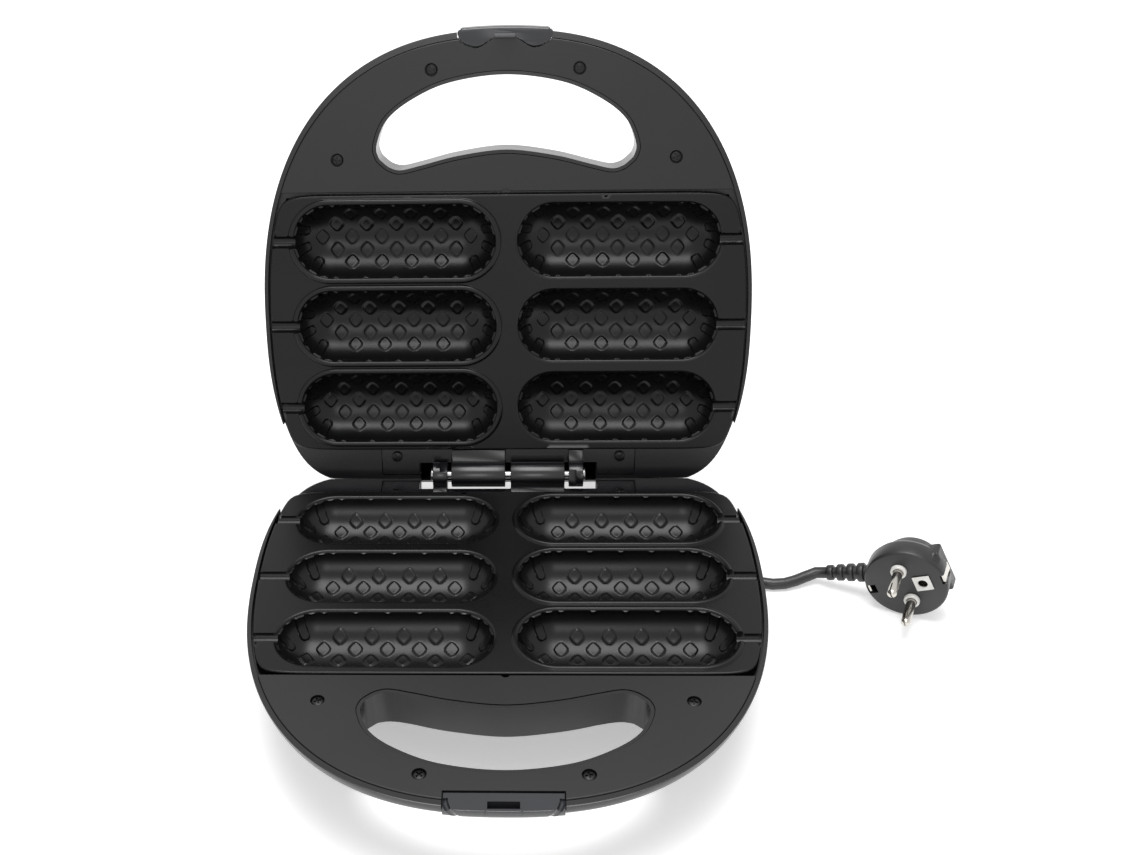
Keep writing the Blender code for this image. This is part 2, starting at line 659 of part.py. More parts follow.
def trough(name, radius, depth, top, place_at, parent):
    """Long round-ended hollow with an elliptic section."""
    half = [math.pi * k / 6 - math.pi / 2 for k in range(7)]
    rings = []
    for level in [None] + quarter_steps(3)[:-1]:
        reach = radius if level is None else radius * math.cos(level)
        height = top if level is None else -depth * math.sin(level)
        right = [(CAVITY_STRAIGHT + reach * math.cos(a), reach * math.sin(a), height) for a in half]
        left = [(-x, -y, z) for x, y, z in right]
        rings.append(right + left)
    reach = radius * math.cos(math.radians(84))
    right = [(CAVITY_STRAIGHT + reach * math.cos(a), reach * math.sin(a), -depth) for a in half]
    rings.append(right + [(-x, -y, z) for x, y, z in right])
    return loft(name, rings, None, parent, shift(*place_at, 0.0))


def build_plate(prefix, parent):
    """Cast cooking plate: a skirted face with six troughs and a stick channel to each side."""
    outline = (PLATE_HALF_WIDTH, PLATE_REACH, PLATE_REACH)
    angles = even_angles(RING_POINTS, *outline, **PLATE_EDGES)
    inner = tuple(value - PLATE_SKIRT_WALL for value in outline)
    inner_edges = dict(PLATE_EDGES, rear=PLATE_REAR + PLATE_SKIRT_WALL, front=PLATE_FRONT - PLATE_SKIRT_WALL)
    bevel = tuple(value - PLATE_EDGE_ROUND for value in outline)
    bevel_edges = dict(PLATE_EDGES, rear=PLATE_REAR + PLATE_EDGE_ROUND, front=PLATE_FRONT - PLATE_EDGE_ROUND)
    rings = [
        ring(angles, 0.0, *bevel, **bevel_edges),
        ring(angles, -PLATE_EDGE_ROUND, *outline, **PLATE_EDGES),
        ring(angles, -SKIRT_DEPTH, *outline, **PLATE_EDGES),
        ring(angles, -SKIRT_DEPTH, *inner, **inner_edges),
        ring(angles, -PLATE_THICKNESS, *inner, **inner_edges),
    ]
    plate = loft(prefix + "_plate", rings, "plate", parent)
    for index, spot in enumerate(cavity_places()):
        name = f"{prefix}_pan_guide_{index}"
        pan = (CAVITY_RADIUS + CAVITY_WALL, CAVITY_DEPTH + CAVITY_WALL)
        join(plate, trough(name, *pan, -PLATE_EDGE_ROUND, spot, parent))
    for index, spot in enumerate(cavity_places()):
        name = f"{prefix}_trough_guide_{index}"
        cut(plate, trough(name, CAVITY_RADIUS, CAVITY_DEPTH, OVERRUN, spot, parent))
        name = f"{prefix}_channel_guide_{index}"
        cut(plate, channel(name, spot, parent))
    return plate


def channel(name, spot, parent):
    """Half-round groove for the stick, from a trough's outer end to the plate's side."""
    way = math.copysign(1.0, spot[0])
    start = spot[0] + way * (CAVITY_STRAIGHT + CAVITY_RADIUS / 2)
    length = PLATE_HALF_WIDTH - abs(start) + OVERRUN
    profile = [(CHANNEL_RADIUS, 0.0), (CHANNEL_RADIUS, length)]
    turn = Matrix.Rotation(way * math.pi / 2, 4, "Y")
    return turned(name, profile, None, parent, shift(start, spot[1], 0.0) @ turn, MEDIUM_SIDES)


def build_cover(prefix, parent, pocket_half_width, pocket_rear):
    """Handle cover: a skirted cap round the crescent with four screw seats."""
    rings = []
    for inset, height in ((COVER_EDGE_ROUND, COVER_RISE), (0.0, COVER_RISE - COVER_EDGE_ROUND), (0.0, -SKIRT_DEPTH),
                          (COVER_SKIRT_WALL, -SKIRT_DEPTH), (COVER_SKIRT_WALL, COVER_RISE - COVER_THICKNESS)):
        rings.append(cover_ring(inset, height))
    cover = loft(prefix + "_handle_cover", rings, "cover", parent)
    for index, (side, forward) in enumerate(cover_screw_places()):
        name = f"{prefix}_cover_seat_guide_{index}"
        top = COVER_RISE - COVER_EDGE_ROUND
        join(cover, upright(name, COVER_SEAT_RADIUS, side, forward, -SKIRT_DEPTH, top, parent, sides=MEDIUM_SIDES))
    cut(cover, hole_prism(prefix + "_cover_hole_guide", HOLE_WALL + GAP, -SHELL_DEPTH, OVERRUN, None, parent))
    spans = ((-pocket_half_width, pocket_half_width), (pocket_rear, LATCH_REACH + OVERRUN),
             (-SHELL_DEPTH, OVERRUN))
    cut(cover, half_box(prefix + "_cover_pocket_guide", *spans, None, parent))
    for index, (side, forward) in enumerate(cover_screw_places()):
        name = f"{prefix}_cover_recess_guide_{index}"
        low = COVER_SCREW_TOP - SCREW_HEAD_HEIGHT - GAP
        cut(cover, upright(name, SCREW_RECESS_RADIUS, side, forward, low, OVERRUN, parent, sides=MEDIUM_SIDES))
        name = f"{prefix}_cover_drill_guide_{index}"
        cut(cover, upright(name, SCREW_SHANK_RADIUS + GAP, side, forward, -SHELL_DEPTH, 0.0, parent, sides=SMALL_SIDES))
    return cover


def cover_ring(inset, height):
    """Ring of the handle cover: a straight rear edge and the outline's front arc."""
    width, reach, rear = COVER_HALF_WIDTH - inset, COVER_REACH - inset, COVER_REAR + inset
    points = []
    for angle in SHELL_ANGLES:
        spot = ring_reach(angle, width, reach, reach)
        forward = CENTRE_FORWARD + spot * math.sin(angle)
        if forward > rear + COVER_SKIRT_WALL:
            points.append(place(spot * math.cos(angle), forward, height))
    along = abs((rear - CENTRE_FORWARD) / reach) ** OUTLINE_SHARE
    corner = width * (1.0 - along) ** (1.0 / OUTLINE_SHARE) - GAP
    return [place(corner, rear, height)] + points + [place(-corner, rear, height)]


def barrel_spans():
    """Spans across of the two barrels that a half carries."""
    return [(LARGE_BARREL_START, LARGE_BARREL_END), (-SMALL_BARREL_END, -SMALL_BARREL_START)]


def across_cylinder(name, radius, span, kind=None, parent=None, sides=16):
    """Cylinder along the hinge axis between two places across."""
    move = Matrix.Rotation(math.pi / 2, 4, "Y")
    profile = [(radius, span[0]), (radius, span[1])]
    return turned(name, profile, kind, parent, move, sides)


def build_bridge(prefix, parent):
    """Hinge bridge: a strip over the rear notch with screw ears, two arms and two barrels."""
    strip = ((-BRIDGE_HALF_WIDTH, BRIDGE_HALF_WIDTH), (BRIDGE_STRIP, BRIDGE_FRONT), (BRIDGE_BOTTOM, BRIDGE_TOP))
    bridge = half_box(prefix + "_hinge_bridge", *strip, "shell", parent)
    for way in (-1, 1):
        sides = sorted((way * (REAR_NOTCH_HALF_WIDTH + GAP), way * BRIDGE_HALF_WIDTH))
        spans = (sides, (-BRIDGE_REAR, BRIDGE_FRONT), (BRIDGE_BOTTOM, BRIDGE_TOP))
        join(bridge, half_box(f"{prefix}_ear_guide_{way + 1}", *spans, None, parent))
    for index, span in enumerate(barrel_spans()):
        spans = (span, (0.0, BRIDGE_FRONT), (BRIDGE_BOTTOM, -ARM_TOP))
        join(bridge, half_box(f"{prefix}_arm_guide_{index}", *spans, None, parent))
        join(bridge, across_cylinder(f"{prefix}_barrel_guide_{index}", BARREL_RADIUS, span, None, parent))
    spans = ((-SMALL_BARREL_START - BARREL_NOTCH_LENGTH, -SMALL_BARREL_START + GAP), (-BARREL_RADIUS, BARREL_RADIUS),
             (BARREL_RADIUS + FACE_GAP / 2 - BARREL_NOTCH_DEPTH, BARREL_RADIUS + OVERRUN))
    cut(bridge, half_box(prefix + "_barrel_notch_guide", *spans, None, parent))
    bore = (-SMALL_BARREL_END - OVERRUN, SMALL_BARREL_END + OVERRUN)
    cut(bridge, across_cylinder(prefix + "_bore_guide", PIN_RADIUS + GAP, bore, None, parent))
    for way in (-1, 1):
        spot = (way * HINGE_SCREW_SIDE, HINGE_SCREW_FORWARD)
        name = f"{prefix}_ear_hole_guide_{way + 1}"
        cut(bridge, upright(name, SCREW_SHANK_RADIUS + GAP, *spot, -SHELL_DEPTH, OVERRUN, parent, sides=SMALL_SIDES))
    return bridge


def build_hinge_pin(parent):
    """Steel pin through the four barrels, headed at both ends."""
    end = SMALL_BARREL_END + GAP
    profile = [(PIN_HEAD_RADIUS, -end - PIN_HEAD_LENGTH), (PIN_HEAD_RADIUS, -end), (PIN_RADIUS, -end),
               (PIN_RADIUS, end), (PIN_HEAD_RADIUS, end), (PIN_HEAD_RADIUS, end + PIN_HEAD_LENGTH)]
    return turned("hinge_pin", profile, "steel", parent, Matrix.Rotation(math.pi / 2, 4, "Y"), MEDIUM_SIDES)


def build_screw(name, side, forward, seat, parent):
    """Pan head screw standing in its hole, its head just over the seat height."""
    tip = SCREW_SHANK_RADIUS * 0.3
    profile = [(tip, -SCREW_LENGTH), (SCREW_SHANK_RADIUS, -SCREW_LENGTH + SCREW_SHANK_RADIUS),
               (SCREW_SHANK_RADIUS, 0.0), (SCREW_HEAD_RADIUS, 0.0), (SCREW_HEAD_RADIUS, SCREW_HEAD_HEIGHT * 0.5),
               (SCREW_HEAD_RADIUS * 0.7, SCREW_HEAD_HEIGHT * 0.93), (SCREW_HEAD_RADIUS * 0.2, SCREW_HEAD_HEIGHT)]
    return turned(name, profile, "screw", parent, shift(side, forward, seat), SMALL_SIDES)


def build_foot(name, side, forward, parent):
    """Rubber foot with a peg through the shell's bottom."""
    edge = FOOT_HEIGHT * 0.12
    profile = [(FOOT_RADIUS - edge, -FOOT_HEIGHT), (FOOT_RADIUS, -FOOT_HEIGHT + edge), (FOOT_RADIUS, -GAP),
               (FOOT_PEG_RADIUS, -GAP), (FOOT_PEG_RADIUS, FOOT_PEG_LENGTH)]
    return turned(name, profile, "foot", parent, shift(side, forward, -SHELL_DEPTH), MEDIUM_SIDES)


def tube(name, points, radius, kind, parent, resolution=2, shares=None):
    """Round tube through points, with closed ends; shares narrow it at single points."""
    curve = bpy.data.curves.new(name, "CURVE")
    curve.dimensions = "3D"
    curve.bevel_depth = radius
    curve.bevel_resolution = resolution
    curve.use_fill_caps = True
    spline = curve.splines.new("POLY")
    spline.points.add(len(points) - 1)
    for index, (knot, point) in enumerate(zip(spline.points, points)):
        knot.co = (*point, 1.0)
        knot.radius = 1.0 if shares is None else shares[index]
    return finish_object(bpy.data.objects.new(name, curve), kind, parent, False)


def heater_depth():
    """Depth at which the heater tube lies one gap off the troughs' undersides."""
    wide, deep = CAVITY_RADIUS + CAVITY_WALL, CAVITY_DEPTH + CAVITY_WALL
    wanted = HEATER_RADIUS + GAP
    low, high = 0.0, deep + wanted
    for _ in range(30):
        depth = (low + high) / 2
        steps = [math.pi / 2 * k / 90 for k in range(91)]
        near = min(math.hypot(wide * math.cos(a) - HEATER_BEND, deep * math.sin(a) - depth) for a in steps)
        low, high = (depth, high) if near < wanted else (low, depth)
    return high


def build_heater(prefix, parent):
    """Tube heater: two straight runs between the rows, a round turn, and a terminal at each end."""
    middle = CAVITY_FIRST_ROW + CAVITY_PITCH
    height = -heater_depth()
    turn = [math.pi / 2 - math.pi * k / 14 for k in range(15)]
    points = [place(HEATER_TURN_SIDE + HEATER_BEND * math.cos(a), middle + HEATER_BEND * math.sin(a), height)
              for a in turn]
    shares = [1.0] * len(points)
    narrow = TERMINAL_RADIUS / HEATER_RADIUS
    for way in (1, -1):
        spot = 0
        forward = middle + way * HEATER_BEND
        ends = [(HEATER_END_SIDE + TERMINAL_LENGTH, narrow), (HEATER_END_SIDE + GAP, narrow), (HEATER_END_SIDE, 1.0)]
        if way < 0:
            ends.reverse()
            spot = len(points)
        points[spot:spot] = [place(-side, forward, height) for side, _ in ends]
        shares[spot:spot] = [share for _, share in ends]
    return tube(prefix + "_heater", points, HEATER_RADIUS, "steel", parent, 2, shares)


def rounded_rectangle(half_width, rear, front, corner, height):
    """Ring of a rectangle with round corners."""
    points = []
    for index, (way, forward) in enumerate(((1, front), (-1, front), (-1, rear), (1, rear))):
        centre_side = way * (half_width - corner)
        centre_forward = forward - corner if forward == front else forward + corner
        for step in range(5):
            angle = math.pi / 2 * (index + step / 4)
            points.append(place(centre_side + corner * math.cos(angle), centre_forward + corner * math.sin(angle), height))
    return points


def build_shield(prefix, parent):
    """Heat shield: a shallow sheet tray on the shell's posts."""
    low, floor, top = -SHIELD_TOP - SHIELD_SHEET, -SHIELD_TOP, -SHIELD_TOP + SHIELD_FLANGE
    sheet = SHIELD_SHEET
    rings = [
        rounded_rectangle(SHIELD_HALF_WIDTH, SHIELD_REAR, SHIELD_FRONT, SHIELD_CORNER, low),
        rounded_rectangle(SHIELD_HALF_WIDTH, SHIELD_REAR, SHIELD_FRONT, SHIELD_CORNER, top),
        rounded_rectangle(SHIELD_HALF_WIDTH - sheet, SHIELD_REAR + sheet, SHIELD_FRONT - sheet, SHIELD_CORNER - sheet, top),
        rounded_rectangle(SHIELD_HALF_WIDTH - sheet, SHIELD_REAR + sheet, SHIELD_FRONT - sheet, SHIELD_CORNER - sheet, floor),
    ]
    return loft(prefix + "_heat_shield", rings, "steel", parent)


def latch_outline():
    """Latch seen from its face: an arched rear edge and a gently curved front."""
    right = [(LATCH_HALF_WIDTH * side, LATCH_REACH - LATCH_EDGE_DEPTH * back) for side, back in LATCH_EDGE_SHARES]
    rear = right + [(-side, forward) for side, forward in right[-2::-1]]
    front = [(-LATCH_HALF_WIDTH, LATCH_REACH - LATCH_FACE_DROP), (-LATCH_HALF_WIDTH / 2, LATCH_REACH),
             (LATCH_HALF_WIDTH / 2, LATCH_REACH), (LATCH_HALF_WIDTH, LATCH_REACH - LATCH_FACE_DROP)]
    return rear + front


def latch_pin_forward():
    """Forward distance of the latch pin."""
    return LATCH_REACH - LATCH_PIN_BACK


def latch_pocket(name, parent):
    """Guide of the pocket that the latch swings in."""
    spans = ((-LATCH_HALF_WIDTH - GAP, LATCH_HALF_WIDTH + GAP),
             (LATCH_REACH - LATCH_EDGE_DEPTH - LATCH_SWING, LATCH_REACH + OVERRUN),
             (-LATCH_BOTTOM - LATCH_SWING, OVERRUN))
    return half_box(name, *spans, None, parent)


def build_latch(swing):
    """Latch body with its hook, on the empty that swings about the latch pin."""
    move = Matrix.Translation(-place(0.0, latch_pin_forward(), -LATCH_PIN_DEPTH))
    outline = [(side, -forward) for side, forward in latch_outline()]
    low, high = -LATCH_BOTTOM - FACE_GAP / 2, LATCH_TOP - FACE_GAP / 2
    latch = prism("latch", outline, low, high, "latch", swing, move)
    rear = LATCH_REACH - LATCH_EDGE_DEPTH * LATCH_EDGE_SHARES[-1][1]
    hook_high = HOOK_RISE - FACE_GAP / 2
    low_corner = (-HOOK_HALF_WIDTH, -rear - HOOK_THICKNESS, -LATCH_PIN_DEPTH)
    join(latch, box("hook_guide", low_corner, (HOOK_HALF_WIDTH, -rear - JOIN / 2, hook_high), None, swing, move))
    barb_low = (-HOOK_HALF_WIDTH, -rear - HOOK_THICKNESS / 2, hook_high - HOOK_BARB_HEIGHT)
    barb_high = (HOOK_HALF_WIDTH, -rear + HOOK_BARB, hook_high)
    join(latch, box("barb_guide", barb_low, barb_high, None, swing, move))
    span = (-LATCH_HALF_WIDTH - OVERRUN, LATCH_HALF_WIDTH + OVERRUN)
    cut(latch, across_cylinder("latch_bore_guide", LATCH_PIN_RADIUS + GAP, span, None, swing, SMALL_SIDES))
    return latch


def build_latch_pin(parent):
    """Steel pin that carries the latch, seated in both sides of its pocket."""
    end = LATCH_HALF_WIDTH + LATCH_PIN_SEAT
    move = shift(0.0, latch_pin_forward(), -LATCH_PIN_DEPTH) @ Matrix.Rotation(math.pi / 2, 4, "Y")
    return turned("latch_pin", [(LATCH_PIN_RADIUS, -end), (LATCH_PIN_RADIUS, end)], "steel", parent, move, SMALL_SIDES)


def spring_front():
    """Forward distance at which the spring bears on the latch."""
    return LATCH_REACH - LATCH_EDGE_DEPTH - GAP


def build_spring(parent):
    """Compression spring in its bore behind the latch."""
    count = SPRING_TURNS * 8
    points = []
    for step in range(count + 1):
        angle = math.tau * SPRING_TURNS * step / count
        forward = spring_front() - SPRING_WIRE - (SPRING_LENGTH - 2 * SPRING_WIRE) * step / count
        points.append(place(SPRING_SIDE + SPRING_RADIUS * math.cos(angle), forward,
                            -SPRING_DEPTH + SPRING_RADIUS * math.sin(angle)))
    return tube("latch_spring", points, SPRING_WIRE, "steel", parent, 1)


def build_keeper(parent):
    """Keeper that closes the front of the lower half and takes the hook in its slot."""
    drop = LATCH_FACE_DROP
    outline = [(-KEEPER_HALF_WIDTH, -KEEPER_REAR), (-KEEPER_HALF_WIDTH, -LATCH_REACH + drop),
               (-KEEPER_HALF_WIDTH / 2, -LATCH_REACH), (KEEPER_HALF_WIDTH / 2, -LATCH_REACH),
               (KEEPER_HALF_WIDTH, -LATCH_REACH + drop), (KEEPER_HALF_WIDTH, -KEEPER_REAR)]
    low, high = -KEEPER_DEPTH - FACE_GAP / 2, -KEEPER_TOP - FACE_GAP / 2
    keeper = prism("latch_keeper", outline, low, high, "latch", parent)
    spans = ((-SLOT_HALF_WIDTH, SLOT_HALF_WIDTH), (SLOT_REAR, SLOT_FRONT), (-SLOT_DEPTH, OVERRUN))
    cut(keeper, half_box("keeper_slot_guide", *spans, None, parent))
    return keeper


def build_controls(lower, lid):
    """Thermostat and fuse on the lower shield, terminal block, and the lid's lamps."""
    middle = CAVITY_FIRST_ROW + CAVITY_PITCH
    seat = -SHIELD_TOP + GAP
    edge = THERMOSTAT_RADIUS * 0.15
    profile = [(THERMOSTAT_RADIUS, 0.0), (THERMOSTAT_RADIUS, THERMOSTAT_HEIGHT - edge),
               (THERMOSTAT_RADIUS - edge, THERMOSTAT_HEIGHT)]
    turned("thermostat", profile, "ceramic", lower, shift(0.0, middle, seat), MEDIUM_SIDES)
    profile = [(FUSE_RADIUS, -FUSE_LENGTH / 2), (FUSE_RADIUS, FUSE_LENGTH / 2)]
    turn = Matrix.Rotation(math.pi / 2, 4, "Y")
    turned("thermal_fuse", profile, "white", lower, shift(FUSE_SIDE, middle, seat + FUSE_RADIUS) @ turn, SMALL_SIDES)
    floor = SHELL_WALL - SHELL_DEPTH + GAP
    half = BLOCK_SIZE[0] / 2
    spans = ((BLOCK_SIDE - half, BLOCK_SIDE + half), (BLOCK_FORWARD, BLOCK_FORWARD + BLOCK_SIZE[1]),
             (floor, floor + BLOCK_SIZE[2]))
    half_box("terminal_block", *spans, "white", lower)
    for name, way, kind in (("heating_lamp_lens", -1, "red"), ("ready_lamp_lens", 1, "green")):
        flange = LENS_RADIUS + LENS_FLANGE
        low = SHELL_WALL + GAP
        profile = [(LENS_RADIUS * 0.8, -LENS_RISE), (LENS_RADIUS, -LENS_RISE * 0.4), (LENS_RADIUS, low),
                   (flange, low), (flange, low + LENS_FLANGE), (LENS_RADIUS, low + LENS_FLANGE),
                   (LENS_RADIUS, LENS_LENGTH)]
        turned(name, profile, kind, lid, shift(way * LENS_SIDE, LENS_FORWARD, -SHELL_DEPTH), MEDIUM_SIDES)
    long, wide, tall = LAMP_HOLDER_SIZE
    low = LENS_LENGTH + GAP - SHELL_DEPTH
    spans = ((-long / 2, long / 2), (LENS_FORWARD - wide / 2, LENS_FORWARD + wide / 2), (low, low + tall))
    half_box("lamp_holder", *spans, "white", lid)


def smooth_route(points, spacing):
    """Evenly spaced points along a smooth curve through a route's points, with straight ends."""
    knots = [np.array(point) for point in points]
    fine = []
    for before, start, end, after in zip(knots, knots[1:], knots[2:], knots[3:]):
        for share in np.linspace(0.0, 1.0, 20, endpoint=False):
            square, cube = share ** 2, share ** 3
            fine.append(0.5 * (2 * start + (end - before) * share
                               + (2 * before - 5 * start + 4 * end - after) * square
                               + (3 * start - before - 3 * end + after) * cube))
    fine.append(knots[-2])
    lengths = np.concatenate([[0.0], np.cumsum([np.linalg.norm(b - a) for a, b in zip(fine, fine[1:])])])
    wanted = np.linspace(0.0, lengths[-1], max(2, round(lengths[-1] / spacing) + 1))
    middle = [Vector([float(np.interp(w, lengths, [point[axis] for point in fine])) for axis in range(3)])
              for w in wanted]
    return [Vector(points[0])] + middle + [Vector(points[-1])]


def coil_points(ground):
    """Centre line of the coil: inward on the upper layer, down a layer, outward on the lower one."""
    total = math.tau * COIL_TURNS
    middle = total / 2
    count = round(COIL_TURNS * COIL_POINTS_PER_TURN)
    low = ground + TIE_SHEET + GAP + CORD_RADIUS
    points = []
    for step in range(count + 1):
        angle = total * step / count
        offset = angle - middle
        turns = math.sqrt(offset ** 2 + (math.pi / 8) ** 2) / math.tau
        radius = COIL_INNER_RADIUS + COIL_PITCH * turns
        height = low + COIL_PITCH * (1.0 - smooth_share(angle, middle - math.pi / 2, middle + math.pi / 2))
        points.append(Vector((COIL_SIDE + radius * math.cos(angle), COIL_BACK + radius * math.sin(angle), height)))
    first = (points[0] - points[1]).normalized()
    last = (points[-1] - points[-2]).normalized()
    first.z = last.z = 0.0
    straight = CORD_RADIUS * 2
    return [points[0] + first.normalized() * straight] + points + [points[-1] + last.normalized() * straight]


def least_gap(points, radius):
    """Least gap between stretches of a wound tube that aren't neighbours along it."""
    near = int(math.pi * radius / (points[1] - points[0]).length) + 3
    gaps = [(points[i] - points[j]).length for i in range(len(points)) for j in range(i + near, len(points))]
    return min(gaps) - 2 * radius


def move_points(points, origin):
    """Points moved from the hinge axis to the world."""
    return [Vector(point) + origin for point in points]


def plug_frame(origin):
    """Frame of the plug: X to its top, Z along the pins."""
    top = Vector(PLUG_TOP_DIRECTION).normalized()
    pins = Vector(PLUG_PIN_DIRECTION)
    pins = (pins - top * pins.dot(top)).normalized()
    side = pins.cross(top)
    frame = Matrix((top, side, pins)).transposed().to_4x4()
    spot = Vector((origin.x + PLUG_SIDE, origin.y - PLUG_FORWARD, PLUG_HEIGHT))
    return Matrix.Translation(spot) @ frame


def plug_relief_direction():
    """Direction in the plug's frame in which the cord leaves it."""
    return Vector((-math.cos(PLUG_RELIEF_TILT), math.sin(PLUG_RELIEF_TILT), 0.0))


def build_plug(origin):
    """Angled earthed plug: body with ribbed relief, pins, collars, earth socket and clips."""
    frame = plug_frame(origin)
    edge = PLUG_RADIUS * 0.05
    profile = [(PLUG_BACK_RADIUS - edge, -PLUG_BACK_LENGTH), (PLUG_BACK_RADIUS, -PLUG_BACK_LENGTH + edge),
               (PLUG_BACK_RADIUS + edge, -PLUG_THICKNESS), (PLUG_RADIUS, -PLUG_THICKNESS + 4 * edge),
               (PLUG_RADIUS, -edge), (PLUG_RADIUS - edge, 0.0)]
    body = turned("plug_body", profile, "cord", None, frame, LARGE_SIDES)
    direction = plug_relief_direction()
    turn = Vector((0.0, 0.0, 1.0)).rotation_difference(direction).to_matrix().to_4x4()
    relief_at = frame @ Matrix.Translation((0.0, 0.0, -PLUG_RELIEF_BACK)) @ turn
    span = PLUG_RELIEF_END - PLUG_RELIEF_START
    sleeve = [(PLUG_RELIEF_ROOT, PLUG_RADIUS * 0.4), (PLUG_RELIEF_ROOT, PLUG_RELIEF_START)]
    for rib in range(PLUG_RIBS):
        base = PLUG_RELIEF_START + span * rib / PLUG_RIBS
        radius = PLUG_RELIEF_ROOT + (PLUG_RELIEF_TIP - PLUG_RELIEF_ROOT) * (rib + 1) / PLUG_RIBS
        groove = radius - PLUG_RELIEF_TIP * 0.12
        sleeve += [(groove, base + span / PLUG_RIBS * 0.1), (groove, base + span / PLUG_RIBS * 0.4),
                   (radius, base + span / PLUG_RIBS * 0.5), (radius, base + span / PLUG_RIBS)]
    join(body, turned("plug_relief_guide", sleeve, None, None, relief_at, MEDIUM_SIDES))
    spots = [("left", -1), ("right", 1)]
    for name, way in spots:
        spot = frame @ Matrix.Translation((0.0, way * PLUG_PIN_SIDE, 0.0))
        hole = [(PLUG_PIN_RADIUS + GAP, -PLUG_PIN_SEAT - GAP), (PLUG_PIN_RADIUS + GAP, OVERRUN)]
        cut(body, turned(f"plug_pin_hole_{name}_guide", hole, None, None, spot, MEDIUM_SIDES))
        tip = PLUG_PIN_RADIUS * 0.5
        pin = [(PLUG_PIN_RADIUS, -PLUG_PIN_SEAT), (PLUG_PIN_RADIUS, PLUG_PIN_LENGTH - tip),
               (tip, PLUG_PIN_LENGTH)]
        turned(f"plug_pin_{name}", pin, "nickel", None, spot, MEDIUM_SIDES)
        collar = [(COLLAR_RADIUS, GAP), (COLLAR_RADIUS, COLLAR_LENGTH)]
        ring_piece = turned(f"plug_collar_{name}", collar, "white", None, spot, MEDIUM_SIDES)
        cut(ring_piece, turned(f"plug_collar_bore_{name}_guide", hole, None, None, spot, MEDIUM_SIDES))
        clip_at = frame @ Matrix.Translation((way * (PLUG_RADIUS - CLIP_SHEET), 0.0, 0.0))
        half = CLIP_WIDTH / 2
        low, high = (-CLIP_SHEET / 2, -half, -CLIP_LENGTH), (CLIP_SHEET / 2, half, -edge)
        box(f"plug_earth_clip_{name}", low, high, "nickel", None, clip_at)
        low = (-CLIP_SHEET / 2 - GAP, -half - GAP, -CLIP_LENGTH - GAP)
        cut(body, box(f"plug_clip_seat_{name}_guide", low, (OVERRUN, half + GAP, OVERRUN), None, None, clip_at))
    spot = frame @ Matrix.Translation((EARTH_SIDE, 0.0, 0.0))
    half = EARTH_FRAME / 2
    socket = box("plug_earth_socket", (-half, -half, GAP), (half, half, EARTH_RISE), "white", None, spot)
    bore = [(EARTH_HOLE_RADIUS, EARTH_RISE - EARTH_DEPTH), (EARTH_HOLE_RADIUS, OVERRUN)]
    cut(socket, turned("plug_earth_bore_guide", bore, None, None, spot, MEDIUM_SIDES))
    seat = [(EARTH_SLEEVE_RADIUS + GAP, -EARTH_DEPTH - GAP), (EARTH_SLEEVE_RADIUS + GAP, OVERRUN)]
    cut(body, turned("plug_earth_seat_guide", seat, None, None, spot, MEDIUM_SIDES))
    sleeve = [(EARTH_SLEEVE_RADIUS, -EARTH_DEPTH), (EARTH_SLEEVE_RADIUS, 0.0)]
    contact = turned("plug_earth_contact", sleeve, "nickel", None, spot, MEDIUM_SIDES)
    cut(contact, turned("plug_earth_contact_bore_guide", bore, None, None, spot, MEDIUM_SIDES))
    return relief_at @ Vector((0.0, 0.0, PLUG_RELIEF_END)), (relief_at.to_3x3() @ Vector((0.0, 0.0, 1.0)))


def build_relief(parent):
    """Strain relief through the lower shell's rear wall."""
    inner = RELIEF_INNER_BACK - GAP
    profile = [(RELIEF_FLANGE, inner - RELIEF_FLANGE_THICKNESS), (RELIEF_FLANGE, inner), (RELIEF_RADIUS, inner),
               (RELIEF_RADIUS, (REAR_WALL_BACK + RELIEF_REACH) / 2), (CORD_RADIUS + GAP, RELIEF_REACH)]
    move = shift(RELIEF_SIDE, 0.0, -RELIEF_DEPTH) @ Matrix.Rotation(-math.pi / 2, 4, "X")
    return turned("cord_strain_relief", profile, "cord", parent, move, MEDIUM_SIDES)


def build_cord(origin, plug_end, plug_way):
    """Cord from the strain relief through its coil to the plug."""
    ground = -origin.z
    coil = coil_points(ground)
    print("coil gap to itself mm", round(least_gap(coil, CORD_RADIUS) / MM, 3))
    tube("cord_coil", move_points(coil, origin), CORD_RADIUS, "cord", None, 1)
    start_way = (coil[0] - coil[1]).normalized()
    end_way = (coil[-1] - coil[-2]).normalized()
    gap = GAP * 1.2
    straight = CORD_RADIUS * 2
    exit_point = Vector((RELIEF_SIDE, RELIEF_REACH + gap, -FACE_GAP / 2 - RELIEF_DEPTH))
    above = [exit_point, exit_point + Vector((0.0, straight, 0.0))]
    above += [Vector(point) for point in UPPER_ROUTE]
    above += [coil[0] + start_way * (gap + straight), coil[0] + start_way * gap]
    spacing = CORD_RADIUS * 4
    tube("cord_to_coil", smooth_route(move_points(above, origin), spacing), CORD_RADIUS, "cord", None)
    plug_local = plug_end - origin
    below = [coil[-1] + end_way * gap, coil[-1] + end_way * (gap + straight)]
    below += [Vector((side, back, ground + height)) for side, back, height in FLOOR_ROUTE]
    below += [plug_local + plug_way * (gap + straight), plug_local + plug_way * gap]
    tube("cord_to_plug", smooth_route(move_points(below, origin), spacing), CORD_RADIUS, "cord", None)
    routes = [above, coil, below]
    length = sum((b - a).length for route in routes for a, b in zip(route, route[1:]))
    print("cord length mm", round(length / MM))


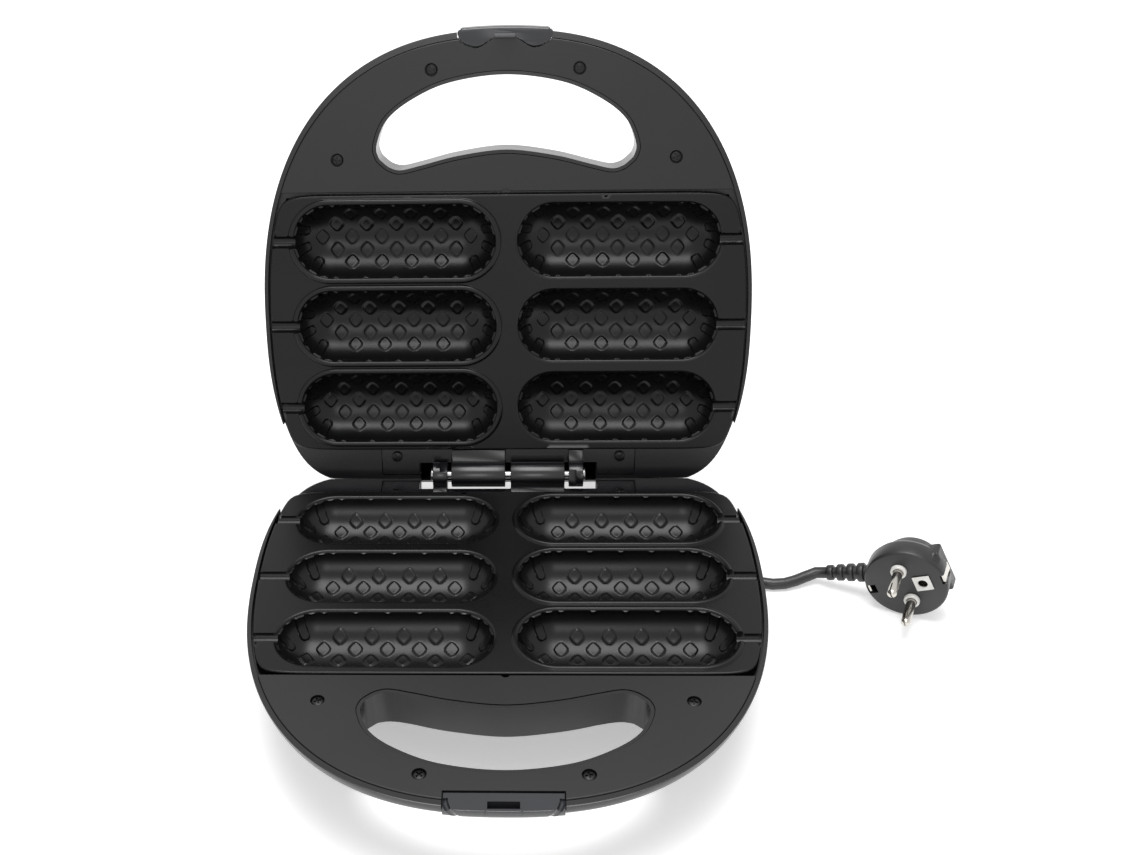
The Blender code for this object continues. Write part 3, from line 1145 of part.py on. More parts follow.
def build_tie(origin):
    """Flat tie round the coil's turns, lying under and over them."""
    ground = -origin.z
    width = COIL_PITCH + CORD_RADIUS * 2 + GAP * 6
    radius = COIL_INNER_RADIUS + COIL_PITCH / 2
    low = ground + GAP
    high = ground + TIE_SHEET + CORD_RADIUS * 2 + COIL_PITCH + GAP * 3
    centre = Vector((COIL_SIDE + radius * math.cos(TIE_ANGLE), COIL_BACK + radius * math.sin(TIE_ANGLE), 0.0))
    move = Matrix.Translation(origin + centre) @ Matrix.Rotation(TIE_ANGLE, 4, "Z")
    half = TIE_WIDTH / 2
    outer = width / 2 + TIE_SHEET
    tie = box("cord_tie", (-outer, -half, low - GAP), (outer, half, high + TIE_SHEET), "cord", None, move)
    inner = box("cord_tie_guide", (-width / 2, -half - OVERRUN, low + TIE_SHEET - GAP),
                (width / 2, half + OVERRUN, high), None, None, move)
    cut(tie, inner)
    return tie


def hinge_origin():
    """World place of the hinge axis, with the open part's box centred over the origin."""
    back = -LATCH_REACH * math.cos(OPEN_ANGLE) + (LATCH_BOTTOM + FACE_GAP / 2) * math.sin(OPEN_ANGLE)
    height = FOOT_HEIGHT + SHELL_DEPTH + FACE_GAP / 2
    return Vector((0.0, (LATCH_REACH - back) / 2, height))


def add_empty(name, matrix, parent=None):
    """Empty that carries the pieces of one moving body."""
    empty = bpy.data.objects.new(name, None)
    bpy.context.collection.objects.link(empty)
    empty.parent = parent
    empty.matrix_basis = matrix
    return empty


def fit_lower_shell(shell, cavity, parent):
    """Keeper pocket, relief hole and foot holes of the lower shell."""
    spans = ((-KEEPER_HALF_WIDTH - GAP, KEEPER_HALF_WIDTH + GAP), (KEEPER_REAR - GAP, LATCH_REACH + OVERRUN),
             (-KEEPER_DEPTH - GAP, OVERRUN))
    cut(shell, half_box("keeper_pocket_guide", *spans, None, parent))
    half = RELIEF_FLANGE + RIM_WALL
    spans = ((RELIEF_SIDE - half, RELIEF_SIDE + half), (-REAR_WALL_BACK - OVERRUN, -RELIEF_INNER_BACK),
             (-RELIEF_DEPTH - half - OVERRUN, -RELIEF_DEPTH + half))
    cut(cavity, half_box("relief_pad_guide", *spans, None, parent))
    move = shift(RELIEF_SIDE, 0.0, -RELIEF_DEPTH) @ Matrix.Rotation(-math.pi / 2, 4, "X")
    profile = [(RELIEF_RADIUS + GAP, -OVERRUN), (RELIEF_RADIUS + GAP, REAR_WALL_BACK + OVERRUN)]
    cut(shell, turned("relief_hole_guide", profile, None, parent, move, MEDIUM_SIDES))
    for index, (side, forward) in enumerate(foot_places()):
        low, high = -SHELL_DEPTH - OVERRUN, -SHELL_DEPTH + FOOT_PEG_LENGTH + GAP
        cut(shell, upright(f"foot_hole_guide_{index}", FOOT_PEG_RADIUS + GAP, side, forward, low, high, parent))


def fit_upper_shell(shell, parent):
    """Latch pocket, pin seats, spring bore and lens holes of the upper shell."""
    cut(shell, latch_pocket("latch_pocket_guide", parent))
    end = LATCH_HALF_WIDTH + LATCH_PIN_SEAT + GAP
    move = shift(0.0, latch_pin_forward(), -LATCH_PIN_DEPTH) @ Matrix.Rotation(math.pi / 2, 4, "Y")
    radius = LATCH_PIN_RADIUS + GAP
    cut(shell, turned("latch_pin_seat_guide", [(radius, -end), (radius, end)], None, parent, move, SMALL_SIDES))
    start = spring_front() - SPRING_LENGTH - GAP
    move = shift(SPRING_SIDE, start, -SPRING_DEPTH) @ Matrix.Rotation(math.pi / 2, 4, "X")
    radius = SPRING_RADIUS + SPRING_WIRE + GAP
    bore = [(radius, 0.0), (radius, SPRING_LENGTH)]
    cut(shell, turned("spring_bore_guide", bore, None, parent, move, MEDIUM_SIDES))
    for way in (-1, 1):
        spot = (way * LENS_SIDE, LENS_FORWARD)
        low, high = -SHELL_DEPTH - OVERRUN, -SHELL_DEPTH + SHELL_WALL + OVERRUN
        cut(shell, upright(f"lens_hole_guide_{way + 1}", LENS_RADIUS + GAP, *spot, low, high, parent, sides=MEDIUM_SIDES))


def build_half(prefix, parent, pocket_half_width, pocket_rear):
    """Pieces that both halves share."""
    shell = build_shell(prefix, parent)
    build_cover(prefix, parent, pocket_half_width, pocket_rear)
    build_plate(prefix, parent)
    build_heater(prefix, parent)
    build_shield(prefix, parent)
    build_bridge(prefix, parent)
    names = ("left_rear", "right_rear", "left_front", "right_front")
    seat = COVER_SCREW_TOP - SCREW_HEAD_HEIGHT
    for name, (side, forward) in zip(names, cover_screw_places()):
        build_screw(f"{prefix}_cover_screw_{name}", side, forward, seat, parent)
    for name, way in (("left", -1), ("right", 1)):
        spot = (way * HINGE_SCREW_SIDE, HINGE_SCREW_FORWARD)
        build_screw(f"{prefix}_hinge_screw_{name}", *spot, BRIDGE_TOP + GAP, parent)
    return shell


def main():
    """Build the whole part, open as it stands for filling."""
    clear_scene()
    origin = hinge_origin()
    lower = add_empty("lower_frame", Matrix.Translation(origin))
    turn = Matrix.Rotation(-OPEN_ANGLE, 4, "X") @ Matrix.Rotation(math.pi, 4, "Y")
    lid = add_empty("lid_frame", Matrix.Translation(origin) @ turn)
    swing = add_empty("latch_frame", shift(0.0, latch_pin_forward(), -LATCH_PIN_DEPTH), lid)
    keeper_rear = KEEPER_REAR - GAP
    latch_rear = LATCH_REACH - LATCH_EDGE_DEPTH - LATCH_SWING
    shell = build_half("lower", lower, KEEPER_HALF_WIDTH + GAP, keeper_rear)
    fit_lower_shell(shell, bpy.data.objects["lower_cavity_guide"], lower)
    build_hinge_pin(lower)
    names = ("left_rear", "right_rear", "left_front", "right_front")
    for name, (side, forward) in zip(names, foot_places()):
        build_foot(f"foot_{name}", side, forward, lower)
    build_keeper(lower)
    build_relief(lower)
    shell = build_half("upper", lid, LATCH_HALF_WIDTH + GAP, latch_rear)
    fit_upper_shell(shell, lid)
    build_latch(swing)
    build_latch_pin(lid)
    build_spring(lid)
    build_controls(lower, lid)
    plug_end, plug_way = build_plug(origin)
    build_cord(origin, plug_end, plug_way)
    build_tie(origin)
    print("hinge axis mm", [round(value / MM, 3) for value in origin])


main()
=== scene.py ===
"""Corn dog maker standing open with its cord and plug: finishes, fine shapes, camera and light."""
import logging
import math
from dataclasses import dataclass, replace
from enum import Enum
from itertools import accumulate, product
from typing import Optional, Sequence

import bmesh
import bpy
import numpy as np
from mathutils import Matrix, Vector
from mathutils.geometry import delaunay_2d_cdt


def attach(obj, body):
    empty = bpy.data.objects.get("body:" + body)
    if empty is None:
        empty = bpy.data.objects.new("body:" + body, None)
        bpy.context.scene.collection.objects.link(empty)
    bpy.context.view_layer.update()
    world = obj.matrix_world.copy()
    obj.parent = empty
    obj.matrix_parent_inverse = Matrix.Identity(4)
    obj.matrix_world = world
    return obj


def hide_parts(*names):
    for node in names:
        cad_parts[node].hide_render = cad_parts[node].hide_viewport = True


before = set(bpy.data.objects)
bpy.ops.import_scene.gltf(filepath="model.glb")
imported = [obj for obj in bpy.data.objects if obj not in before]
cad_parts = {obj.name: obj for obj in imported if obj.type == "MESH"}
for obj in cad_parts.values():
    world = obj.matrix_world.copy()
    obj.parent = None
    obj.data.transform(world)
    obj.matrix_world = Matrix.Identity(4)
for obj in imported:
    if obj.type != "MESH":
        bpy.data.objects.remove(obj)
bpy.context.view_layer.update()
LOG = logging.getLogger("corn_dog_maker")
MM = 0.001
OVERRUN = 4.0 * MM
SMOOTH_ANGLE = 35.0
BEVEL_SHADING = 15.0
WELD_DISTANCE = 0.001 * MM
NEARLY_NONE = 1e-6
UNIT = Matrix.Identity(4)
SIDES = (("left", -1), ("right", 1))
Point = tuple[float, float, float]
Flat = tuple[float, float]
Item = bpy.types.Object
Tree = bpy.types.NodeTree


class Half(Enum):
    """The two halves of the appliance, named as their bodies."""

    LOWER = "base"
    UPPER = "lid"


def linear(code: str) -> tuple[float, float, float, float]:
    """Turn an sRGB hex colour into linear red, green and blue, and an alpha of one."""
    values = [int(code[k:k + 2], 16) / 255 for k in (0, 2, 4)]
    return (*[v / 12.92 if v <= 0.04045 else ((v + 0.055) / 1.055) ** 2.4 for v in values], 1.0)


def add_node(tree: Tree, kind: str, values: dict, links: Optional[dict] = None) -> bpy.types.Node:
    """Add a shader node with its settings, socket values and incoming links.

    Args:
        tree: Node tree of the material.
        kind: Blender's node type.
        values: Settings by attribute name, or socket values by socket name.
        links: Outgoing sockets by the name of the input they feed.

    Returns:
        The new node.
    """
    node = tree.nodes.new(kind)
    for name, value in values.items():
        if hasattr(node, name):
            setattr(node, name, value)
        else:
            node.inputs[name].default_value = value
    for name, socket in (links or {}).items():
        tree.links.new(socket, node.inputs[name])
    return node


@dataclass(frozen=True)
class Finish:
    """A surface as its maker would call it, with the grain that its process leaves.

    The grain is a fine bump of a real size; mottle varies the roughness over a wider patch.
    """

    name: str
    colour: str
    roughness: float
    metallic: float = 0.0
    ior: float = 1.5
    grain_mm: float = 0.6
    grain_height_mm: float = 0.02
    mottle_mm: float = 30.0
    mottle: float = 0.06
    shade: str = ""
    transmission: float = 0.0

    def material(self) -> bpy.types.Material:
        """Build the material, or hand back the one already built.

        Returns:
            A node material with grain bump and mottled roughness.
        """
        ready = bpy.data.materials.get(self.name)
        if ready is not None:
            return ready
        made = bpy.data.materials.new(self.name)
        made.use_nodes = True
        tree = made.node_tree
        shader = tree.nodes["Principled BSDF"]
        place = add_node(tree, "ShaderNodeTexCoord", {}).outputs["Object"]
        grain = add_node(tree, "ShaderNodeTexNoise", {"Scale": 1.0 / (self.grain_mm * MM), "Detail": 3.0,
                                                      "Roughness": 0.55}, {"Vector": place})
        mottle = add_node(tree, "ShaderNodeTexNoise", {"Scale": 1.0 / (self.mottle_mm * MM), "Detail": 4.0},
                          {"Vector": place})
        low, high = self.roughness - self.mottle, self.roughness + self.mottle
        rough = add_node(tree, "ShaderNodeMapRange",
                         {"From Min": 0.3, "From Max": 0.7, "To Min": max(low, 0.02), "To Max": high},
                         {"Value": mottle.outputs["Fac"]})
        bump = add_node(tree, "ShaderNodeBump", {"Strength": 1.0, "Distance": self.grain_height_mm * MM},
                        {"Height": grain.outputs["Fac"]})
        tint = add_node(tree, "ShaderNodeMix", {"data_type": "RGBA"}, {"Factor": mottle.outputs["Fac"]})
        tint.inputs[6].default_value = linear(self.colour)
        tint.inputs[7].default_value = linear(self.shade or self.colour)
        tree.links.new(tint.outputs[2], shader.inputs["Base Color"])
        tree.links.new(rough.outputs["Result"], shader.inputs["Roughness"])
        tree.links.new(bump.outputs["Normal"], shader.inputs["Normal"])
        shader.inputs["Metallic"].default_value = self.metallic
        if self.metallic < 0.5:
            shader.inputs["IOR"].default_value = self.ior
        shader.inputs["Transmission Weight"].default_value = self.transmission
        return made


# Die-cast aluminium sprayed with a ceramic-filled fluoropolymer: dark grey with long soft highlights
NON_STICK = Finish("sprayed_non_stick_coating", "080809", 0.3, ior=1.35, grain_mm=0.5,
                   grain_height_mm=0.012, mottle_mm=40.0, mottle=0.04, shade="0b0b0c")
# Injection-moulded polypropylene from a spark-eroded mould: satin black that shows no clear reflection
COVER_PLASTIC = Finish("spark_textured_black_plastic", "0a0a0b", 0.42, ior=1.46, grain_mm=0.45,
                       grain_height_mm=0.02, mottle_mm=60.0, mottle=0.03, shade="0d0d0e")
# Injection-moulded ABS from a polished mould: deep black with a clear, slightly wavy reflection
SHELL_PLASTIC = Finish("polished_black_abs", "101012", 0.24, grain_mm=14.0, grain_height_mm=0.03,
                       mottle_mm=50.0, mottle=0.03, shade="141417")
# The same ABS in dark grey for the latch and keeper: glossy and a tone lighter than the shells
LATCH_PLASTIC = Finish("polished_grey_abs", "2c2d30", 0.18, grain_mm=9.0, grain_height_mm=0.02,
                       mottle_mm=30.0, mottle=0.03, shade="313236")
# Cold-headed steel with black oxide: dull dark metal
BLACK_OXIDE = Finish("black_oxide_steel", "161617", 0.38, metallic=0.5, grain_mm=0.3, grain_height_mm=0.006,
                     mottle_mm=3.0, shade="1e1e20")
# Turned steel wire left bright: fine rings and a soft grey shine
DRAWN_STEEL = Finish("bright_drawn_steel", "a9a9ab", 0.3, metallic=1.0, grain_mm=0.25, grain_height_mm=0.004,
                     mottle_mm=4.0, shade="9b9b9d")
# Aluminised steel sheet: pale, slightly cloudy metal
ALUMINISED = Finish("aluminised_sheet", "c3c4c6", 0.38, metallic=1.0, grain_mm=1.2, grain_height_mm=0.01,
                    mottle_mm=12.0, shade="b2b3b6")
# Brass with a bright nickel plate: warm silver with near-sharp reflections
NICKEL = Finish("nickel_plated_brass", "c9c6c0", 0.18, metallic=1.0, grain_mm=0.4, grain_height_mm=0.002,
                mottle_mm=5.0, shade="bdbab4")
# Flexible vinyl, extruded for the cord and moulded for the plug: black with a soft sheen
VINYL = Finish("extruded_black_vinyl", "171718", 0.38, ior=1.53, grain_mm=0.5, grain_height_mm=0.012,
               mottle_mm=18.0, mottle=0.05, shade="1d1d1e")
# White polyamide collars and socket frame: clean, faintly translucent white
POLYAMIDE = Finish("moulded_white_polyamide", "e9e8e4", 0.4, ior=1.53, grain_mm=0.7, grain_height_mm=0.01,
                   mottle_mm=8.0, shade="e2e0db")
# Steatite, pressed and fired: chalky cream
STEATITE = Finish("fired_steatite", "ddd5c4", 0.6, ior=1.6, grain_mm=0.5, grain_height_mm=0.03,
                  mottle_mm=6.0, shade="d3cab8")
# Soft rubber feet: flat black
RUBBER = Finish("moulded_black_rubber", "1d1d1d", 0.78, ior=1.52, grain_mm=0.4, grain_height_mm=0.03,
                mottle_mm=8.0)
# Clear tinted polycarbonate lamp windows
RED_LENS = Finish("tinted_red_polycarbonate", "b3160f", 0.12, ior=1.58, grain_mm=3.0, grain_height_mm=0.004,
                  mottle_mm=5.0, mottle=0.02, transmission=0.35)
GREEN_LENS = Finish("tinted_green_polycarbonate", "1d8a35", 0.12, ior=1.58, grain_mm=3.0,
                    grain_height_mm=0.004, mottle_mm=5.0, mottle=0.02, transmission=0.35)


def shade(mesh: bpy.types.Mesh, angle: float) -> None:
    """Shade a mesh smooth where its faces meet at less than an angle in degrees."""
    mesh.shade_smooth()
    mesh.set_sharp_from_angle(angle=math.radians(angle))


def weld(mesh: bpy.types.Mesh, distance: Optional[float] = None) -> None:
    """Turn a mesh's faces outward, and before that join its points that lie within a distance.

    Args:
        mesh: Mesh to change.
        distance: Largest distance between joined points, or None to join none.
    """
    work = bmesh.new()
    work.from_mesh(mesh)
    if distance is not None:
        bmesh.ops.remove_doubles(work, verts=work.verts, dist=distance)
    bmesh.ops.recalc_face_normals(work, faces=work.faces)
    work.to_mesh(mesh)
    work.free()


def apply_steps(piece: Item) -> bpy.types.Mesh:
    """Turn a piece's modifiers into its mesh.

    Args:
        piece: Piece with its modifiers.

    Returns:
        The piece's new mesh.
    """
    graph = bpy.context.evaluated_depsgraph_get()
    made = bpy.data.meshes.new_from_object(piece.evaluated_get(graph))
    piece.modifiers.clear()
    piece.data = made
    return made


class Mesher:
    """Collects points and faces of one piece and turns them into a shaded object."""

    def __init__(self) -> None:
        """Start with no geometry."""
        self.points: list[Vector] = []
        self.faces: list[tuple[int, ...]] = []

    def loft(self, rings: Sequence[Sequence[Vector]], closed: bool = True, start: bool = False,
             end: bool = False) -> None:
        """Bridge rings of equal point counts.

        Args:
            rings: Rings of points in order.
            closed: Whether each ring joins its last point to its first.
            start: Whether to cap the first ring.
            end: Whether to cap the last ring.
        """
        base, count = len(self.points), len(rings[0])
        self.points += [Vector(point) for ring in rings for point in ring]
        for level in range(len(rings) - 1):
            for index in range(count if closed else count - 1):
                after = (index + 1) % count
                low = base + level * count
                self.faces.append((low + index, low + after, low + count + after, low + count + index))
        if start:
            self.faces.append(tuple(range(base, base + count)))
        if end:
            last = base + (len(rings) - 1) * count
            self.faces.append(tuple(range(last, last + count)))

    def object(self, name: str, finish: Optional[Finish]) -> Item:
        """Make the object, its faces turned outward and shaded smooth.

        Args:
            name: Name of the piece.
            finish: Its finish, or None for a cutter.

        Returns:
            The new object.
        """
        mesh = bpy.data.meshes.new(name)
        mesh.from_pydata([tuple(point) for point in self.points], [], self.faces)
        weld(mesh)
        item = bpy.data.objects.new(name, mesh)
        bpy.context.collection.objects.link(item)
        if finish is not None:
            shade(mesh, SMOOTH_ANGLE)
            mesh.materials.append(finish.material())
        return item


def carve(target: Item, tools: Sequence[Item], operation: str = "DIFFERENCE",
          angle: float = SMOOTH_ANGLE) -> None:
    """Cut tools out of a closed piece, or join them with it, and drop the tools.

    Args:
        target: Piece that keeps its name.
        tools: Closed cutters.
        operation: Boolean operation.
        angle: Largest angle in degrees that stays smooth.
    """
    for tool in tools:
        step = target.modifiers.new(tool.name, "BOOLEAN")
        step.operation = operation
        step.solver = "MANIFOLD"
        step.object = tool
    shade(apply_steps(target), angle)
    for tool in tools:
        bpy.data.objects.remove(tool, do_unlink=True)


def soften(piece: Item, width: float, segments: int = 2, angle: float = 50.0) -> None:
    """Round a piece's sharp edges with a bevel and keep its normals even.

    Args:
        piece: Piece to round.
        width: Bevel width in metres.
        segments: Steps across the bevel.
        angle: Smallest edge angle in degrees that is rounded.
    """
    step = piece.modifiers.new("soft_edges", "BEVEL")
    step.width = width
    step.segments = segments
    step.limit_method = "ANGLE"
    step.angle_limit = math.radians(angle)
    shade(apply_steps(piece), angle + BEVEL_SHADING)
    even = piece.modifiers.new("flat_faces_lead", "WEIGHTED_NORMAL")
    even.weight = 100
    even.keep_sharp = True
    apply_steps(piece)


def settle(piece: Item, body: str, nodes: Sequence[str] = ()) -> Item:
    """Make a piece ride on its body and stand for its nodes.

    Args:
        piece: Finished piece in world coordinates.
        body: Body that carries it.
        nodes: CAD nodes that it stands for.

    Returns:
        The same piece.
    """
    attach(piece, body)
    if nodes:
        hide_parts(*nodes)
    LOG.info("%s on %s: %d faces", piece.name, body, len(piece.data.polygons) if piece.type == "MESH" else 0)
    return piece


def solid(name: str, rings: Sequence[Sequence[Vector]], finish: Optional[Finish] = None) -> Item:
    """Closed solid through rings: a piece with its finish, or a cutter without one."""
    work = Mesher()
    work.loft(rings, start=True, end=True)
    return work.object(name, finish)


def turned(name: str, profile: Sequence[Flat], finish: Optional[Finish], matrix: Matrix, sides: int = 48,
           closed_loop: bool = False) -> Item:
    """Piece turned about its own Z.

    Args:
        name: Name of the piece.
        profile: Radius and height pairs in order.
        finish: Its finish, or None for a cutter.
        matrix: Place and direction of its axis.
        sides: Points round it.
        closed_loop: Whether the profile closes on itself instead of being capped.

    Returns:
        The piece.
    """
    turns = [math.tau * k / sides for k in range(sides)]
    rings = [[matrix @ Vector((radius * math.cos(a), radius * math.sin(a), height)) for a in turns]
             for radius, height in profile]
    if not closed_loop:
        return solid(name, rings, finish)
    work = Mesher()
    work.loft(rings + rings[:1])
    item = work.object(name, finish)
    weld(item.data, WELD_DISTANCE)
    return item


def bore(name: str, radius: float, span: Flat, matrix: Matrix, sides: int = 40) -> Item:
    """Round cutter of one radius between two heights on its axis."""
    return turned(name, [(radius, end) for end in span], None, matrix, sides)


def block(name: str, low: Point, high: Point, matrix: Matrix = UNIT,
          finish: Optional[Finish] = None) -> Item:
    """Box between two corners, moved by a matrix: a cutter, or a blank for further work."""
    outline = [(low[0], low[1]), (high[0], low[1]), (high[0], high[1]), (low[0], high[1])]
    rings = [[matrix @ Vector((x, y, level)) for x, y in outline] for level in (low[2], high[2])]
    return solid(name, rings, finish)


def quarter_turns(steps: int) -> list[float]:
    """Angles from nothing to a quarter turn in even steps."""
    return [math.pi / 2 * k / steps for k in range(steps + 1)]


def dome(radius: float, low: float, high: float, steps: int) -> list[Flat]:
    """Profile of a round top, from its edge to just before its middle."""
    turns = quarter_turns(steps)[:-1]
    return [(radius * math.cos(turn), low + (high - low) * math.sin(turn)) for turn in turns]


def line_lengths(points: Sequence[Vector]) -> list[float]:
    """Length along a line from its first point to each of its points."""
    return [0.0, *accumulate((after - before).length for before, after in zip(points, points[1:]))]


def smooth_line(knots: Sequence[Vector], steps: int) -> list[Vector]:
    """Run a smooth line through knots, from the second to just before the last but one.

    Args:
        knots: Points to pass through, with one lead-in point at each end.
        steps: Points on each stretch between two knots.

    Returns:
        Points of the line.
    """
    fine = []
    for before, start, end, after in zip(knots, knots[1:], knots[2:], knots[3:]):
        for step in range(steps):
            share = step / steps
            fine.append(0.5 * (2 * start + (end - before) * share
                               + (2 * before - 5 * start + 4 * end - after) * share ** 2
                               + (3 * start - before - 3 * end + after) * share ** 3))
    return fine


def eased(share: float | np.ndarray) -> float | np.ndarray:
    """Share from 0 to 1 with a soft start and a soft end."""
    return share * share * (3.0 - 2.0 * share)


def smooth_share(value: float, start: float, end: float) -> float:
    """Share from 0 to 1 that eases in between two values."""
    return eased(min(max((value - start) / (end - start), 0.0), 1.0))


@dataclass(frozen=True)
class Outline:
    """Rounded outline of a half seen from above, with straight rear and front edges where given."""

    half_width: float
    front_reach: float
    rear_reach: float
    rear: Optional[float] = None
    front: Optional[float] = None
    corner: float = 12.0
    centre: float = 78.0 * MM
    power: float = 2.4

    def grown(self, margin: float) -> "Outline":
        """Hand back the outline moved outward by a margin on every side."""
        return replace(self, half_width=self.half_width + margin, front_reach=self.front_reach + margin,
                       rear_reach=self.rear_reach + margin,
                       rear=None if self.rear is None else self.rear - margin,
                       front=None if self.front is None else self.front + margin)

    def reach(self, angle: float) -> float:
        """Find the distance from the centre to the edge in one direction.

        Args:
            angle: 0 points across and a quarter turn points forward.

        Returns:
            The distance in metres.
        """
        across, along = math.cos(angle), math.sin(angle)
        ahead = self.front_reach if along > 0 else self.rear_reach
        edges = [(abs(across / self.half_width) ** self.power + abs(along / ahead) ** self.power)
                 ** (-1.0 / self.power)]
        if self.rear is not None and along < 0:
            edges.append((self.centre - self.rear) / -along)
        if self.front is not None and along > 0:
            edges.append((self.front - self.centre) / along)
        shortest = min(edges)
        return shortest * sum((shortest / edge) ** self.corner for edge in edges) ** (-1.0 / self.corner)

    def place(self, angle: float) -> Flat:
        """Find the edge's place across and forward in one direction."""
        reach = self.reach(angle)
        return reach * math.cos(angle), self.centre + reach * math.sin(angle)

    def angle_at(self, forward: float) -> float:
        """Find the direction in which the right side of the edge lies at a forward distance.

        Args:
            forward: Distance forward from the hinge axis.

        Returns:
            The direction.
        """
        low, high = -math.pi / 2, math.pi / 2
        for _ in range(50):
            middle = (low + high) / 2
            low, high = (middle, high) if self.place(middle)[1] < forward else (low, middle)
        return low

    def angles(self, count: int) -> list[float]:
        """Find directions that space the outline's points evenly along its edge, alike on both sides.

        Args:
            count: Even number of points.

        Returns:
            The directions, from the rear once round.
        """
        fine = [math.tau * k / (count * 16) - math.pi / 2 for k in range(count * 8 + 1)]
        lengths = line_lengths([Vector((math.cos(a), math.sin(a))) * self.reach(a) for a in fine])
        wanted = [lengths[-1] * step / (count // 2) for step in range(count // 2 + 1)]
        half = [float(angle) for angle in np.interp(wanted, lengths, fine)]
        return half + [math.pi - angle for angle in half[-2:0:-1]]

    def ring(self, angles: Sequence[float], height: float) -> list[Vector]:
        """Place the outline's points in given directions at one height of a half."""
        return [spot(*self.place(angle), height) for angle in angles]


FACE_GAP = 1.5 * MM
FRONT_STEPS = 24
CORNER_SHARE = 0.94
OPEN_ANGLE = math.radians(107.416)
HINGE = Vector((0.0, 71.778 * MM, 47.75 * MM))
SHELL_EDGE = Outline(122.2 * MM, 144.3 * MM, 128.2 * MM, rear=-9.0 * MM)
PLATE_EDGE = Outline(119.4 * MM, 140.0 * MM, 140.0 * MM, rear=13.3 * MM, front=145.2 * MM, corner=24.0)
POCKET_EDGE = Outline(120.3 * MM, 141.3 * MM, 141.3 * MM, rear=13.0 * MM, corner=24.0)
COVER_EDGE = Outline(120.0 * MM, 141.0 * MM, 141.0 * MM)
COVER_SCREW_SEAT = -1.4 * MM
HINGE_SCREW_SEAT = -4.7 * MM
HINGE_SCREW = (58.1 * MM, 8.2 * MM)
FOOT_PLACES = {"left_rear": (-80.0 * MM, 20.0 * MM), "right_rear": (80.0 * MM, 20.0 * MM),
               "left_front": (-75.0 * MM, 112.0 * MM), "right_front": (75.0 * MM, 112.0 * MM)}


def spot(side: float, forward: float, height: float) -> Vector:
    """Point of a half: across, forward from the hinge axis and above the plate face."""
    return Vector((side, -forward, height - FACE_GAP / 2))


def bar(name: str, sides: Flat, forwards: Flat, heights: Flat,
        finish: Optional[Finish] = None) -> Item:
    """Straight bar of a half, from its spans across, forward and up: a cutter, or a blank."""
    low, high = spot(sides[0], forwards[1], heights[0]), spot(sides[1], forwards[0], heights[1])
    return block(name, low, high, finish=finish)


def upright(name: str, outline: Sequence[Flat], low: float, high: float) -> Item:
    """Upright cutter of a half over an outline of places across and forward."""
    return solid(name, [[spot(side, forward, level) for side, forward in outline] for level in (low, high)])


def bowed_front(half_width: float, reach: float, drop: float, corner: float = 0.0) -> list[Flat]:
    """Run along a front edge that bows back toward its sides.

    Args:
        half_width: Half of its width.
        reach: Its forward place in the middle.
        drop: How far its sides lie behind that.
        corner: How far its two corners are cut back beyond the bow.

    Returns:
        Places across and forward, from left to right.
    """
    line = []
    for step in range(FRONT_STEPS + 1):
        side = -1.0 + 2.0 * step / FRONT_STEPS
        cut = corner * max(0.0, abs(side) - CORNER_SHARE) / (1.0 - CORNER_SHARE)
        line.append((half_width * side, reach - drop * side ** 2 - cut))
    return line


def moulded_rings(line: Sequence[Flat], middle: float, half_sizes: Flat, edge: float,
                  heights: Flat) -> list[list[Vector]]:
    """Make the rings of a moulding over an outline, with a rounded upper and a slanted lower edge.

    Args:
        line: Outline across and forward.
        middle: Forward place toward which the rings draw in.
        half_sizes: Half width and half depth over which they draw in.
        edge: Size of the rounding.
        heights: Top and bottom.

    Returns:
        The rings from the top down.
    """
    top, bottom = heights
    levels = ((edge, top), (edge * 0.3, top - edge * 0.3), (0.0, top - edge), (0.0, bottom + edge),
              (edge, bottom))
    rings = []
    for inset, height in levels:
        across, along = 1 - inset / half_sizes[0], 1 - inset / half_sizes[1]
        rings.append([spot(side * across, middle + (forward - middle) * along, height)
                      for side, forward in line])
    return rings


def placement(half: Half) -> Matrix:
    """Find the place of a half as it stands open.

    Args:
        half: Lower or upper half.

    Returns:
        Matrix from the half's own frame to the world.
    """
    if half is Half.LOWER:
        return Matrix.Translation(HINGE)
    turn = Matrix.Rotation(-OPEN_ANGLE, 4, "X") @ Matrix.Rotation(math.pi, 4, "Y")
    return Matrix.Translation(HINGE) @ turn


def prefix(half: Half) -> str:
    """First word of a half's node names."""
    return "lower" if half is Half.LOWER else "upper"


